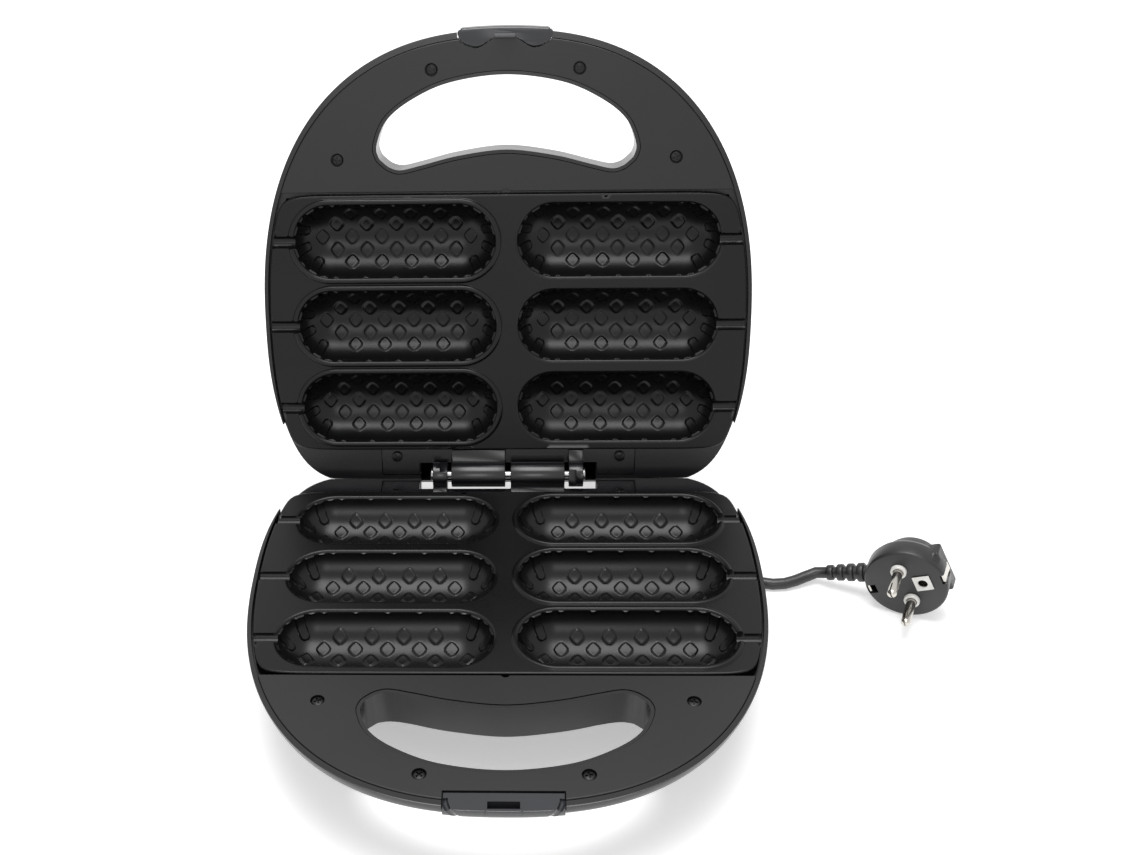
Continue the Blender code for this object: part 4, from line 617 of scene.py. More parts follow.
@dataclass
class CookingPlate:
    """Cast cooking plate: six long troughs with raised diamonds, end ribs, rim marks and stick channels."""

    half: Half
    rows: tuple[float, ...] = (36.3 * MM, 79.3 * MM, 122.3 * MM)
    column: float = 55.5 * MM
    straight: float = 31.9 * MM
    radius: float = 18.1 * MM
    depth: float = 15.2 * MM
    wall: float = 1.8 * MM
    thickness: float = 2.2 * MM
    skirt: float = 4.7 * MM
    edge_round: float = 0.8 * MM
    shoulder: float = 1.2 * MM
    flat_slack: float = 0.02 * MM
    channel: float = 3.0 * MM
    channel_shares: tuple[float, ...] = (0.0, 0.25, 0.5, 0.72, 0.88, 0.97, 1.0)
    channel_margin: float = 0.3 * MM
    channel_points: int = 9
    edge_clearance: float = 4.0 / 3.0 * MM
    pitch: float = 15.0 * MM
    spacing: float = 0.5 * MM
    rim_run: float = 1.3 * MM
    diamond_side: float = 3.3 * MM
    diamond_along: float = 3.8 * MM
    diamond_rise: float = 0.75 * MM
    diamond_power: float = 1.35
    diamond_slope: Flat = (1.13, 0.26)
    diamond_row_shares: Flat = (0.437, 0.86089)
    rib_half_width: float = 2.4 * MM
    rib_rise: float = 0.9 * MM
    rib_start: float = 12.6 * MM
    rib_slope: Flat = (1.08, 0.3)
    rib_azimuths: Flat = (18.0, 58.0)
    mark_half_width: float = 1.3 * MM
    mark_rise: float = 0.8 * MM
    mark_length: float = 2.0 * MM
    mark_azimuths: Flat = (38.0, 78.0)
    outer_points: int = 240

    def diamond_places(self) -> list[Flat]:
        """Find the diamonds' centres on the unrolled trough.

        Returns:
            Pairs of the place along the trough and the place round its section.
        """
        near, far = (self.depth * share for share in self.diamond_row_shares)
        rows = [(0.0, (-2.5, -1.5, -0.5, 0.5, 1.5, 2.5))]
        for way in (-1, 1):
            rows.append((way * near, (-2, -1, 0, 1, 2)))
            rows.append((way * far, (-1.5, -0.5, 0.5, 1.5)))
        return [(share * self.pitch, around) for around, shares in rows for share in shares]

    def round_trip(self, spacing: float) -> tuple[np.ndarray, np.ndarray, np.ndarray]:
        """Walk once round a trough.

        Args:
            spacing: Distance between points at the rim.

        Returns:
            The foot of each point on the trough's axis and its direction from there.
        """
        ends = max(6, round(math.pi * self.radius / spacing))
        runs = max(2, round(2 * self.straight / spacing))
        turn = np.linspace(-math.pi / 2, math.pi / 2, ends, endpoint=False)
        along = np.linspace(self.straight, -self.straight, runs, endpoint=False)
        feet = np.concatenate([np.full(ends, self.straight), along, np.full(ends, -self.straight), -along])
        across = np.concatenate([np.cos(turn), np.zeros(runs), -np.cos(turn), np.zeros(runs)])
        ahead = np.concatenate([np.sin(turn), np.ones(runs), -np.sin(turn), -np.ones(runs)])
        return feet, across, ahead

    def rim(self, lipped: bool) -> list[Flat]:
        """Section of the rim from the face to the wall.

        Args:
            lipped: Whether a raised lip goes round the trough.

        Returns:
            Radius and height pairs in metres.
        """
        if lipped:
            pairs = [(21.4, 0.0), (21.25, 0.0), (21.05, 0.16), (20.85, 0.55), (20.6, 0.92), (20.25, 1.14),
                     (19.9, 1.2), (19.3, 1.2), (18.85, 1.12), (18.5, 0.9), (18.28, 0.55), (18.15, 0.2)]
        else:
            pairs = [(19.9, 0.0), (19.5, 0.0), (19.15, -0.04), (18.8, -0.15), (18.5, -0.35), (18.28, -0.65),
                     (18.14, -1.0)]
        return [(radius * MM, height * MM) for radius, height in pairs]

    def diamonds(self, along: np.ndarray, around: np.ndarray) -> np.ndarray:
        """Find how far the diamonds stand out at places along the trough and round its section."""
        rise, power = np.zeros_like(along), self.diamond_power
        for place_along, place_around in self.diamond_places():
            size = ((np.abs(along - place_along) / self.diamond_side) ** power
                    + (np.abs(around - place_around) / self.diamond_along) ** power) ** (1 / power)
            share = np.clip((self.diamond_slope[0] - size) / self.diamond_slope[1], 0.0, 1.0)
            rise = np.maximum(rise, self.diamond_rise * eased(share))
        return rise

    def ribs(self, across: np.ndarray, ahead: np.ndarray, arc: float, reach: float) -> np.ndarray:
        """Find how far the ribs at the trough's round ends stand out at one level."""
        rise = np.zeros_like(across)
        short = max(0.0, self.rib_start + self.rib_half_width - arc)
        for azimuth, way_across, way_ahead in product(np.radians(self.rib_azimuths), (-1, 1), (-1, 1)):
            aim = (way_across * math.cos(azimuth), way_ahead * math.sin(azimuth))
            side = reach * (across * aim[1] - ahead * aim[0])
            facing = across * aim[0] + ahead * aim[1] > 0.5
            gap = np.hypot(side, short) / self.rib_half_width
            share = np.clip((self.rib_slope[0] - gap) / self.rib_slope[1], 0.0, 1.0)
            rise = np.maximum(rise, self.rib_rise * eased(share) * facing * (np.abs(across) > NEARLY_NONE))
        return rise

    def marks(self, feet: np.ndarray, across: np.ndarray, ahead: np.ndarray, down: float) -> np.ndarray:
        """Find how far the rim marks stand out at a distance down from the rim."""
        top = self.mark_rise * math.sqrt(max(0.0, 1.0 - (down / self.mark_length) ** 2))
        rise, straight = np.zeros_like(feet), np.abs(across) < NEARLY_NONE
        for step in (-2, -1, 0, 1, 2):
            share = np.clip(1.0 - (np.abs(feet - step * self.pitch) / self.mark_half_width) ** 2, 0.0, 1.0)
            rise = np.maximum(rise, top * share * straight)
        azimuth = np.degrees(np.arctan2(np.abs(ahead), np.abs(across)))
        for centre in self.mark_azimuths:
            gap = np.radians(np.abs(azimuth - centre)) * self.radius / (self.mark_half_width * 1.5)
            rise = np.maximum(rise, top * np.clip(1.0 - gap ** 2, 0.0, 1.0) * ~straight)
        return rise

    def relief(self, feet: np.ndarray, across: np.ndarray, ahead: np.ndarray, arc: float,
               reach: float) -> np.ndarray:
        """Find how far the trough's whole pattern stands out from its wall at one level.

        Args:
            feet: Foot of each point on the axis.
            across: Direction along the trough.
            ahead: Direction across the trough.
            arc: Length round the section from the bottom.
            reach: Distance from the axis seen from above.

        Returns:
            Rise of each point toward the food.
        """
        rise = self.diamonds(feet + arc * across, arc * ahead)
        rise = np.maximum(rise, self.ribs(across, ahead, arc, reach))
        down = self.arc_length() - arc
        if down < self.mark_length:
            rise = np.maximum(rise, self.marks(feet, across, ahead, down))
        return rise

    def arc_length(self) -> float:
        """Length round a quarter of the trough's section."""
        steps = np.linspace(0.0, math.pi / 2, 200)
        across, down = np.diff(self.radius * np.cos(steps)), np.diff(self.depth * np.sin(steps))
        return float(np.sum(np.hypot(across, down)))

    def trough(self, centre: Flat, lipped: bool) -> list[np.ndarray]:
        """Make the rings of one trough from the face down to its bottom line.

        Args:
            centre: Its place across and forward.
            lipped: Whether it has a raised lip.

        Returns:
            Rings of points in the half's frame.
        """
        feet, across, ahead = self.round_trip(self.spacing)
        rings = []
        for reach, height in self.rim(lipped):
            rings.append(np.stack([centre[0] + feet + reach * across, -(centre[1] + reach * ahead),
                                   np.full_like(feet, height - FACE_GAP / 2)], axis=1))
        fine = np.linspace(0.0, math.pi / 2, 400)
        radii, depths = self.radius * np.cos(fine), self.depth * np.sin(fine)
        lengths = np.concatenate([[0.0], np.cumsum(np.hypot(np.diff(radii), np.diff(depths)))])
        start = 0.0 if lipped else self.rim_run
        steps = np.linspace(start, lengths[-1], round((lengths[-1] - start) / self.spacing) + 1)
        for down in steps:
            turn = float(np.interp(down, lengths, fine))
            reach, level = self.radius * math.cos(turn), -self.depth * math.sin(turn)
            normal = Vector((-math.cos(turn) / self.radius, math.sin(turn) / self.depth)).normalized()
            rise = self.relief(feet, across, ahead, lengths[-1] - down, reach)
            if down == steps[-1]:
                reach, normal = 0.0, Vector((0.0, 1.0))
            spread = reach + rise * normal.x
            rings.append(np.stack([centre[0] + feet + spread * across, -(centre[1] + spread * ahead),
                                   level + rise * normal.y - FACE_GAP / 2], axis=1))
        return rings

    def pan(self, centre: Flat, lipped: bool) -> list[np.ndarray]:
        """Make the rings of a trough's plain underside, from the face's back down.

        Args:
            centre: Its place across and forward.
            lipped: Whether the trough has a raised lip.

        Returns:
            Rings of points in the half's frame.
        """
        feet, across, ahead = self.round_trip(self.spacing)
        levels = [(self.rim(lipped)[0][0], -self.thickness)]
        radius, depth = self.radius + self.wall, self.depth + self.wall
        for turn in np.radians([14.0, 28.0, 44.0, 62.0, 78.0]):
            levels.append((radius * math.cos(turn), -depth * math.sin(turn)))
        levels.append((0.0, -depth))
        rings = []
        for reach, level in levels:
            side, forward = centre[0] + feet + reach * across, centre[1] + reach * ahead
            low = np.minimum(level, self.groove(side, forward, self.channel + self.wall))
            low = np.maximum(low, min(level, -self.skirt))
            rings.append(np.stack([side, -forward, low - FACE_GAP / 2], axis=1))
        return rings

    def groove(self, side: np.ndarray, forward: np.ndarray, radius: float) -> np.ndarray:
        """Find the depth of the stick channels.

        Args:
            side: Places across.
            forward: Places forward.
            radius: Radius of the channels' round section.

        Returns:
            Heights, 0 beside a channel and below 0 in one.
        """
        level = np.zeros_like(side)
        outside = np.abs(side) > self.column + self.straight + self.radius * 0.6
        for row in self.rows:
            gap = np.abs(forward - row)
            low = -np.sqrt(np.clip(radius ** 2 - gap ** 2, 0.0, None))
            level = np.where(outside & (gap < radius), low, level)
        return level

    def lower(self, ring: Sequence[Vector], top: float, radius: float) -> list[Vector]:
        """Lower the points of a ring that lie in a channel.

        Args:
            ring: Points in the half's frame.
            top: Height of the ring beside the channels.
            radius: Radius of the channels' section.

        Returns:
            The ring as it runs through the channels.
        """
        side, ahead = np.array([p.x for p in ring]), np.array([-p.y for p in ring])
        level = np.minimum(top, self.groove(side, ahead, radius))
        return [Vector((p.x, p.y, max(h, -self.skirt) - FACE_GAP / 2)) for p, h in zip(ring, level)]

    def edge_angles(self) -> list[float]:
        """Find the outline's directions, with extra points where the channels leave the plate.

        Returns:
            Directions in order.
        """
        right = [PLATE_EDGE.angle_at(row + gap) for row, gap in product(self.rows, self.channel_steps())]
        extra = right + [math.pi - angle for angle in right]
        clear = self.edge_clearance / PLATE_EDGE.half_width
        kept = []
        for angle in PLATE_EDGE.angles(self.outer_points):
            forward = PLATE_EDGE.place(angle)[1]
            beside = all(abs(forward - row) >= self.channel * 1.1 for row in self.rows)
            if beside and min(abs(angle - other) for other in extra) > clear:
                kept.append(angle)
        return sorted(kept + extra)

    def channel_steps(self) -> list[float]:
        """Places across a channel that give its round section."""
        half = [self.channel * share for share in self.channel_shares]
        return [-step for step in half[:0:-1]] + half

    def channel_lines(self) -> list[list[Vector]]:
        """Draw the lines along the channels that give them their round section.

        Returns:
            Points of each line, from the trough's rim to the plate's edge.
        """
        lines = []
        for row, way, gap in product(self.rows, (-1, 1), self.channel_steps()):
            rim = self.rim(way > 0)[0][0]
            begin = self.column + self.straight + math.sqrt(rim ** 2 - gap ** 2) + self.channel_margin
            end = self.edge_side(row + gap) - self.shoulder - self.channel_margin
            sides = np.linspace(begin, end, self.channel_points)
            lines.append([Vector((way * side, -(row + gap))) for side in sides])
        return lines

    def face(self, outer: Sequence[Vector],
             holes: Sequence[Sequence[Vector]]) -> tuple[list[Vector], list[tuple]]:
        """Triangulate the flat between the outer ring and the troughs, with points along the channels.

        Args:
            outer: Outer ring.
            holes: Outermost rings of the troughs.

        Returns:
            Points, the rings' own first and in order, and triangles.
        """
        loops = [outer, *holes]
        points = [Vector((p.x, p.y)) for loop in loops for p in loop]
        starts = [0, *accumulate(len(loop) for loop in loops)]
        edges = [(base + k, base + (k + 1) % len(loop)) for base, loop in zip(starts, loops)
                 for k in range(len(loop))]
        for line in self.channel_lines():
            edges += [(len(points) + k, len(points) + k + 1) for k in range(len(line) - 1)]
            points += line
        flat, _, faces, sources, _, _ = delaunay_2d_cdt(points, edges, [], 0, 1e-8)
        unsourced = len(starts) + 1
        owner = [int(np.searchsorted(starts, min(ids), side="right")) if ids else unsourced
                 for ids in sources]
        support = PLATE_EDGE.grown(-self.shoulder)
        kept = []
        for face in faces:
            owners = {owner[k] for k in face}
            middle = sum((flat[k] for k in face), Vector((0.0, 0.0))) / len(face)
            ahead = -middle.y - PLATE_EDGE.centre
            edge = support.reach(math.atan2(ahead, middle.x)) + self.flat_slack
            inside = math.hypot(middle.x, ahead) < edge
            over_trough = len(owners) == 1 and 2 <= min(owners) <= len(loops)
            if (inside or len(owners) > 1) and not over_trough:
                kept.append(tuple(face))
        return [Vector((p.x, p.y, 0.0)) for p in flat], kept

    def build(self) -> Item:
        """Build the plate with its channels and dress it.

        Returns:
            The plate in world coordinates.
        """
        work, angles = Mesher(), self.edge_angles()
        support = PLATE_EDGE.grown(-self.shoulder).ring(angles, 0.0)
        sides = [self.lower(support, 0.0, self.channel)]
        for turn in quarter_turns(4):
            plan = PLATE_EDGE.grown(-self.edge_round * (1 - math.sin(turn))).ring(angles, 0.0)
            sides.append(self.lower(plan, -self.edge_round * (1 - math.cos(turn)), self.channel))
        sides.append(PLATE_EDGE.ring(angles, -self.skirt))
        sides.append([Vector((p.x, p.y, -self.skirt - FACE_GAP / 2)) for p in support])
        sides.append(self.lower(support, -self.thickness, self.channel + self.wall))
        work.loft(sides)
        tops = []
        for forward, way in product(self.rows, (-1, 1)):
            centre = (way * self.column, forward)
            rings = self.trough(centre, way > 0)
            tops.append([Vector(point) for point in rings[0]])
            for ring in rings:
                level = self.groove(ring[:, 0], -ring[:, 1], self.channel) - FACE_GAP / 2
                in_channel = level < -FACE_GAP / 2 - 1e-9
                ring[:, 2] = np.where(in_channel, np.minimum(ring[:, 2], level), ring[:, 2])
            work.loft(rings)
            work.loft(self.pan(centre, way > 0))
        flat, faces = self.face(support, tops)
        for top, radius in ((0.0, self.channel), (-self.thickness, self.channel + self.wall)):
            base = len(work.points)
            work.points += self.lower(flat, top, radius)
            work.faces += [tuple(base + k for k in face) for face in faces]
        plate = work.object(f"{prefix(self.half)}_cooking_plate", NON_STICK)
        weld(plate.data, WELD_DISTANCE * 2)
        shade(plate.data, 32.0)
        plate.data.transform(placement(self.half))
        return settle(plate, self.half.value, [f"{prefix(self.half)}_plate"])

    def edge_side(self, forward: float) -> float:
        """Half width of the plate at a forward distance."""
        share = abs((forward - PLATE_EDGE.centre) / PLATE_EDGE.front_reach) ** PLATE_EDGE.power
        return PLATE_EDGE.half_width * (1 - share) ** (1 / PLATE_EDGE.power)


@dataclass(frozen=True)
class Softbox:
    """Square soft lamp with its place, the point that it faces, its side length and its power in watts."""

    name: str
    place: Point
    aim: Point
    size: float
    power: float

    def hang(self) -> None:
        """Hang the lamp."""
        data = bpy.data.lights.new(self.name, "AREA")
        data.size = self.size
        data.energy = self.power
        item = bpy.data.objects.new(self.name, data)
        bpy.context.collection.objects.link(item)
        item.location = self.place
        item.rotation_euler = (Vector(self.aim) - Vector(self.place)).to_track_quat("-Z", "Y").to_euler()


@dataclass
class Studio:
    """Camera at the photograph's angle, pale floor, white surroundings and soft lamps."""

    image_width: int = 1140
    focal_pixels: float = 1490.04
    sensor: float = 36.0
    eye: Point = (9.24 * MM, -547.16 * MM, 517.85 * MM)
    pitch: float = math.radians(37.656)
    yaw: float = math.radians(-2.663)
    roll: float = math.radians(-1.751)
    shift: Flat = (0.0869, 0.0519)
    clip_start: float = 0.01
    floor_radius: float = 6.0
    floor_sides: int = 96
    ambient: float = 0.5
    floor_glow: float = 0.4
    lamps: tuple[Softbox, ...] = (Softbox("overhead_softbox", (0.0, 0.05, 1.5), (0.0, 0.02, 0.05), 0.9, 18.0),
                                  Softbox("front_softbox", (-0.1, -1.5, 1.0), (0.0, 0.0, 0.08), 0.6, 4.0))

    def camera(self) -> Item:
        """Place the camera.

        Returns:
            The scene's camera.
        """
        cos_p, sin_p = math.cos(self.pitch), math.sin(self.pitch)
        forward = Vector((math.sin(self.yaw) * cos_p, math.cos(self.yaw) * cos_p, -sin_p))
        level = Vector((math.cos(self.yaw), -math.sin(self.yaw), 0.0))
        above = level.cross(forward)
        right = level * math.cos(self.roll) + above * math.sin(self.roll)
        up = above * math.cos(self.roll) - level * math.sin(self.roll)
        data = bpy.data.cameras.new("camera")
        data.sensor_width = self.sensor
        data.lens = self.focal_pixels * self.sensor / self.image_width
        data.shift_x, data.shift_y = self.shift
        data.clip_start = self.clip_start
        item = bpy.data.objects.new("camera", data)
        bpy.context.collection.objects.link(item)
        turn = Matrix((right, up, -forward)).transposed().to_4x4()
        item.matrix_world = Matrix.Translation(self.eye) @ turn
        bpy.context.scene.camera = item
        return item

    def surroundings(self) -> None:
        """Make the world white to the camera and to reflections, and softer as light."""
        world = bpy.data.worlds.new("white_room")
        world.use_nodes = True
        bpy.context.scene.world = world
        back = world.node_tree.nodes["Background"]
        back.inputs["Color"].default_value = (1.0, 1.0, 1.0, 1.0)
        self.feed(world.node_tree, back.inputs["Strength"], self.ambient, 1.0)

    def feed(self, tree: Tree, strength: bpy.types.NodeSocket, lit: float, seen: float) -> None:
        """Give a strength one value as light and another to camera, glossy and transmission rays.

        Args:
            tree: Node tree to add to.
            strength: Socket to feed.
            lit: Value as light.
            seen: Value to the rays that show the background.
        """
        path = add_node(tree, "ShaderNodeLightPath", {})
        shows = path.outputs["Is Camera Ray"]
        for name in ("Is Glossy Ray", "Is Transmission Ray"):
            either = add_node(tree, "ShaderNodeMath", {"operation": "MAXIMUM"})
            tree.links.new(shows, either.inputs[0])
            tree.links.new(path.outputs[name], either.inputs[1])
            shows = either.outputs[0]
        level = add_node(tree, "ShaderNodeMapRange", {"To Min": lit, "To Max": seen}, {"Value": shows})
        tree.links.new(level.outputs["Result"], strength)

    def floor(self) -> None:
        """Lay the pale floor that takes the object's shadow."""
        turns = [math.tau * k / self.floor_sides for k in range(self.floor_sides)]
        edge = [Vector((self.floor_radius * math.cos(turn), self.floor_radius * math.sin(turn), 0.0))
                for turn in turns]
        work = Mesher()
        work.loft([[point * share for point in edge] for share in (1.0, 0.3, 0.02)], end=True)
        item = work.object("floor", None)
        paint = bpy.data.materials.new("matt_white_laminate")
        paint.use_nodes = True
        shader = paint.node_tree.nodes["Principled BSDF"]
        shader.inputs["Base Color"].default_value = linear("f7f7f7")
        shader.inputs["Roughness"].default_value = 0.9
        shader.inputs["Specular IOR Level"].default_value = 0.1
        shader.inputs["Emission Color"].default_value = (1.0, 1.0, 1.0, 1.0)
        self.feed(paint.node_tree, shader.inputs["Emission Strength"], 0.0, self.floor_glow)
        item.data.materials.append(paint)

    def build(self) -> None:
        """Set up the camera, surroundings, floor and lamps."""
        bpy.context.scene.view_settings.view_transform = "Standard"
        self.camera()
        self.surroundings()
        self.floor()
        for lamp in self.lamps:
            lamp.hang()


@dataclass
class SupplyCord:
    """Cord from the strain relief through its stored coil to the plug, on the part's own route."""

    radius: float = 3.0 * MM
    spacing: float = 6.0 * MM
    spline_steps: int = 20
    gap: float = 0.36 * MM
    coil_inner: float = 28.5 * MM
    coil_pitch: float = 6.6 * MM
    coil_turns: float = 2.75
    coil_points: int = 24
    coil_centre: Flat = (32.0 * MM, 100.0 * MM)
    coil_floor: float = 4.3 * MM
    upper: tuple[Point, ...] = ((0.0745, 0.056, -0.0325), (0.0730, 0.075, -0.0362))
    lower: tuple[Point, ...] = ((0.058, 0.0630, 0.0036), (0.079, 0.0600, 0.0031), (0.096, 0.0500, 0.003),
                                (0.106, 0.0340, 0.003), (0.110, 0.0160, 0.003), (0.1125, -0.003, 0.003),
                                (0.1175, -0.020, 0.003), (0.125, -0.0310, 0.003), (0.1345, -0.0352, 0.003),
                                (0.1440, -0.0350, 0.0032), (0.1525, -0.0320, 0.0043))

    def coil(self) -> list[Vector]:
        """Wind the coil: inward on the upper layer, down, and outward on the lower one.

        Returns:
            Points of its centre line.
        """
        total = math.tau * self.coil_turns
        count = round(self.coil_turns * self.coil_points)
        points = []
        for step in range(count + 1):
            angle = total * step / count
            turns = math.sqrt((angle - total / 2) ** 2 + (math.pi / 8) ** 2) / math.tau
            radius = self.coil_inner + self.coil_pitch * turns
            down = smooth_share(angle, total / 2 - math.pi / 2, total / 2 + math.pi / 2)
            points.append(Vector((self.coil_centre[0] + radius * math.cos(angle),
                                  HINGE.y + self.coil_centre[1] + radius * math.sin(angle),
                                  self.coil_floor + self.coil_pitch * (1.0 - down))))
        return points

    def route(self, plug: "MainsPlug", relief: "StrainRelief") -> list[Vector]:
        """Follow the whole cord from the strain relief to the plug.

        Args:
            plug: Plug at its far end.
            relief: Sleeve that it comes out of.

        Returns:
            Evenly spaced points.
        """
        coil = self.coil()
        first, last = coil[0] - coil[1], coil[-1] - coil[-2]
        for way in (first, last):
            way.z = 0.0
            way.normalize()
        straight = self.radius * 2
        start = HINGE + Vector((relief.side, relief.reach + self.gap, -FACE_GAP / 2 - relief.depth))
        enter, leave = coil[0] + first * straight, coil[-1] + last * straight
        above = [start - Vector((0.0, straight, 0.0)), start, start + Vector((0.0, straight, 0.0))]
        above += [HINGE + Vector(point) for point in self.upper]
        above += [enter + first * (self.gap + straight), enter, coil[0]]
        end, way = plug.cord_end()
        below = [coil[-1], leave, leave + last * (self.gap + straight)]
        below += [Vector((x, HINGE.y + y, z)) for x, y, z in self.lower]
        below += [end + way * (self.gap + straight), end + way * self.gap, end]
        fine = smooth_line(above, self.spline_steps) + [enter] + coil
        fine += smooth_line(below, self.spline_steps) + [below[-2]]
        lengths = line_lengths(fine)
        wanted = np.linspace(0.0, lengths[-1], round(lengths[-1] / self.spacing) + 1)
        axes = [np.interp(wanted, lengths, [point[axis] for point in fine]) for axis in range(3)]
        return [Vector(point) for point in zip(*axes)]

    def build(self, plug: "MainsPlug", relief: "StrainRelief", plug_pieces: Sequence[str]) -> Item:
        """Args:
            plug: Plug at its far end.
            relief: Sleeve that it comes out of.
            plug_pieces: CAD nodes and pieces that lie on the cord; not used.

        Returns:
            The cord.
        """
        points = self.route(plug, relief)
        curve = bpy.data.curves.new("supply_cord", "CURVE")
        curve.dimensions = "3D"
        curve.bevel_depth = self.radius
        curve.bevel_resolution = 6
        curve.use_fill_caps = True
        spline = curve.splines.new("POLY")
        spline.points.add(len(points) - 1)
        for knot, point in zip(spline.points, points):
            knot.co = (*point, 1.0)
        spline.use_smooth = True
        curve.materials.append(VINYL.material())
        item = bpy.data.objects.new("supply_cord", curve)
        bpy.context.collection.objects.link(item)
        length = line_lengths(points)[-1]
        settle(item, "base", ["cord_to_coil", "cord_coil", "cord_to_plug"])
        tuple(points[0])
        return item


@dataclass
class MainsPlug:
    """Angled earthed plug: moulded body with a ribbed relief, pins, collars, earth socket and clips."""

    top: Point = (0.81, -0.35, 0.47)
    pins: Point = (-0.37, -0.93, -0.05)
    place: Flat = (198.0 * MM, 56.5 * MM)
    height: float = 21.0 * MM
    radius: float = 20.5 * MM
    thickness: float = 14.0 * MM
    back_radius: float = 14.0 * MM
    back_length: float = 22.0 * MM
    pin_radius: float = 2.4 * MM
    pin_length: float = 19.0 * MM
    pin_side: float = 9.5 * MM
    pin_root: float = 6.0 * MM
    pin_hole: Flat = (2.7 * MM, 6.3 * MM)
    slit: Flat = (0.35 * MM, 7.0 * MM)
    edge_round: float = 1.23 * MM
    shoulder: tuple[Point, Point] = ((-7.2 * MM, -7.0 * MM, 4.0 * MM), (7.2 * MM, 7.0 * MM, 19.5 * MM))
    grip_half_width: float = 12.0 * MM
    grip_reach: Flat = (-2.0 * MM, 19.3 * MM)
    grip_depth: Flat = (-15.0 * MM, -6.3 * MM)
    collar_radius: float = 3.9 * MM
    collar_length: float = 2.2 * MM
    earth_side: float = 9.0 * MM
    earth_frame: float = 8.6 * MM
    earth_rise: float = 1.0 * MM
    earth_hole: float = 2.4 * MM
    earth_seat: Flat = (3.4 * MM, 12.3 * MM)
    clip_side: float = 19.1 * MM
    clip: Point = (0.7 * MM, 2.3 * MM, 12.0 * MM)
    clip_seat: Point = (1.0 * MM, 2.6 * MM, 12.3 * MM)
    relief_start: float = 15.0 * MM
    relief_end: float = 42.0 * MM
    relief_root: float = 5.6 * MM
    relief_tip: float = 4.0 * MM
    relief_back: float = 10.0 * MM
    relief_tilt: float = math.radians(9.0)
    rib_height: float = 1.1 * MM
    rib_edge: float = 0.2 * MM
    ribs: int = 5

    def frame(self) -> Matrix:
        """Find the plug's frame: X to its top, Z along the pins."""
        top = Vector(self.top).normalized()
        pins = Vector(self.pins)
        pins = (pins - top * pins.dot(top)).normalized()
        turn = Matrix((top, pins.cross(top), pins)).transposed().to_4x4()
        return Matrix.Translation((self.place[0], HINGE.y - self.place[1], self.height)) @ turn

    def relief_frame(self) -> Matrix:
        """Find the ribbed relief's frame, its Z toward the cord."""
        way = Vector((-math.cos(self.relief_tilt), math.sin(self.relief_tilt), 0.0))
        turn = Vector((0.0, 0.0, 1.0)).rotation_difference(way).to_matrix().to_4x4()
        return self.frame() @ Matrix.Translation((0.0, 0.0, -self.relief_back)) @ turn

    def cord_end(self) -> tuple[Vector, Vector]:
        """Find where the cord meets the relief and in which direction it leaves."""
        place = self.relief_frame()
        return place @ Vector((0.0, 0.0, self.relief_end)), place.to_3x3() @ Vector((0.0, 0.0, 1.0))

    def at(self, top: float, side: float) -> Matrix:
        """Find a place on the plug's face, toward its top and to its side."""
        return self.frame() @ Matrix.Translation((top, side, 0.0))

    def body(self) -> Item:
        """Mould the body with its grip plates, ribbed relief and openings.

        Returns:
            The body.
        """
        edge, back, front = self.edge_round, self.back_radius, self.radius
        profile = [(back - edge * 2, -self.back_length), (back - edge * 0.6, -self.back_length + edge * 0.4),
                   (back, -self.back_length + edge * 1.4), (back + edge, -self.thickness),
                   (front - edge, -self.thickness + 2 * edge), (front, -self.thickness + 4 * edge),
                   (front, -edge), (front - edge * 0.3, -edge * 0.3), (front - edge, 0.0)]
        body = turned("plug_moulding", profile, VINYL, self.frame(), 96)
        shoulder = block("plug_shoulder", *self.shoulder, self.relief_frame())
        wedge = block("plug_grip", (self.grip_reach[0], -self.grip_half_width, self.grip_depth[0]),
                      (self.grip_reach[1], self.grip_half_width, self.grip_depth[1]), self.frame())
        soften(shoulder, 2.6 * MM, 4, 30.0)
        soften(wedge, 1.2 * MM, 3, 30.0)
        carve(body, [shoulder, wedge, self.sleeve()], "UNION")
        cuts = []
        (seat, width, depth), (hole, root) = self.clip_seat, self.pin_hole
        for _, way in SIDES:
            cuts.append(bore("pin_hole", hole, (-root, OVERRUN), self.at(0.0, way * self.pin_side)))
            cuts.append(block("clip_seat", (-seat, -width, -depth), (OVERRUN, width, OVERRUN),
                              self.at(way * self.clip_side, 0.0)))
        hole, root = self.earth_seat
        cuts.append(bore("earth_seat", hole, (-root, OVERRUN), self.at(self.earth_side, 0.0)))
        carve(body, cuts)
        return settle(body, "base", ["plug_body"])

    def sleeve(self) -> Item:
        """Turn the relief's sleeve, whose ribs grow thinner toward the cord.

        Returns:
            The sleeve, to be joined with the body.
        """
        step = (self.relief_end - self.relief_start) / self.ribs
        profile = [(self.relief_root, self.radius * 0.4), (self.relief_root, self.relief_start)]
        for rib in range(self.ribs):
            base = self.relief_start + step * rib
            wide = self.relief_root + (self.relief_tip - self.relief_root) * (rib + 1) / self.ribs
            groove, edge = wide - self.rib_height, wide - self.rib_edge
            profile += [(groove, base + step * 0.08), (groove, base + step * 0.36),
                        (edge, base + step * 0.42), (wide, base + step * 0.5), (wide, base + step * 0.92),
                        (edge, base + step)]
        return turned("plug_sleeve", profile, None, self.relief_frame())

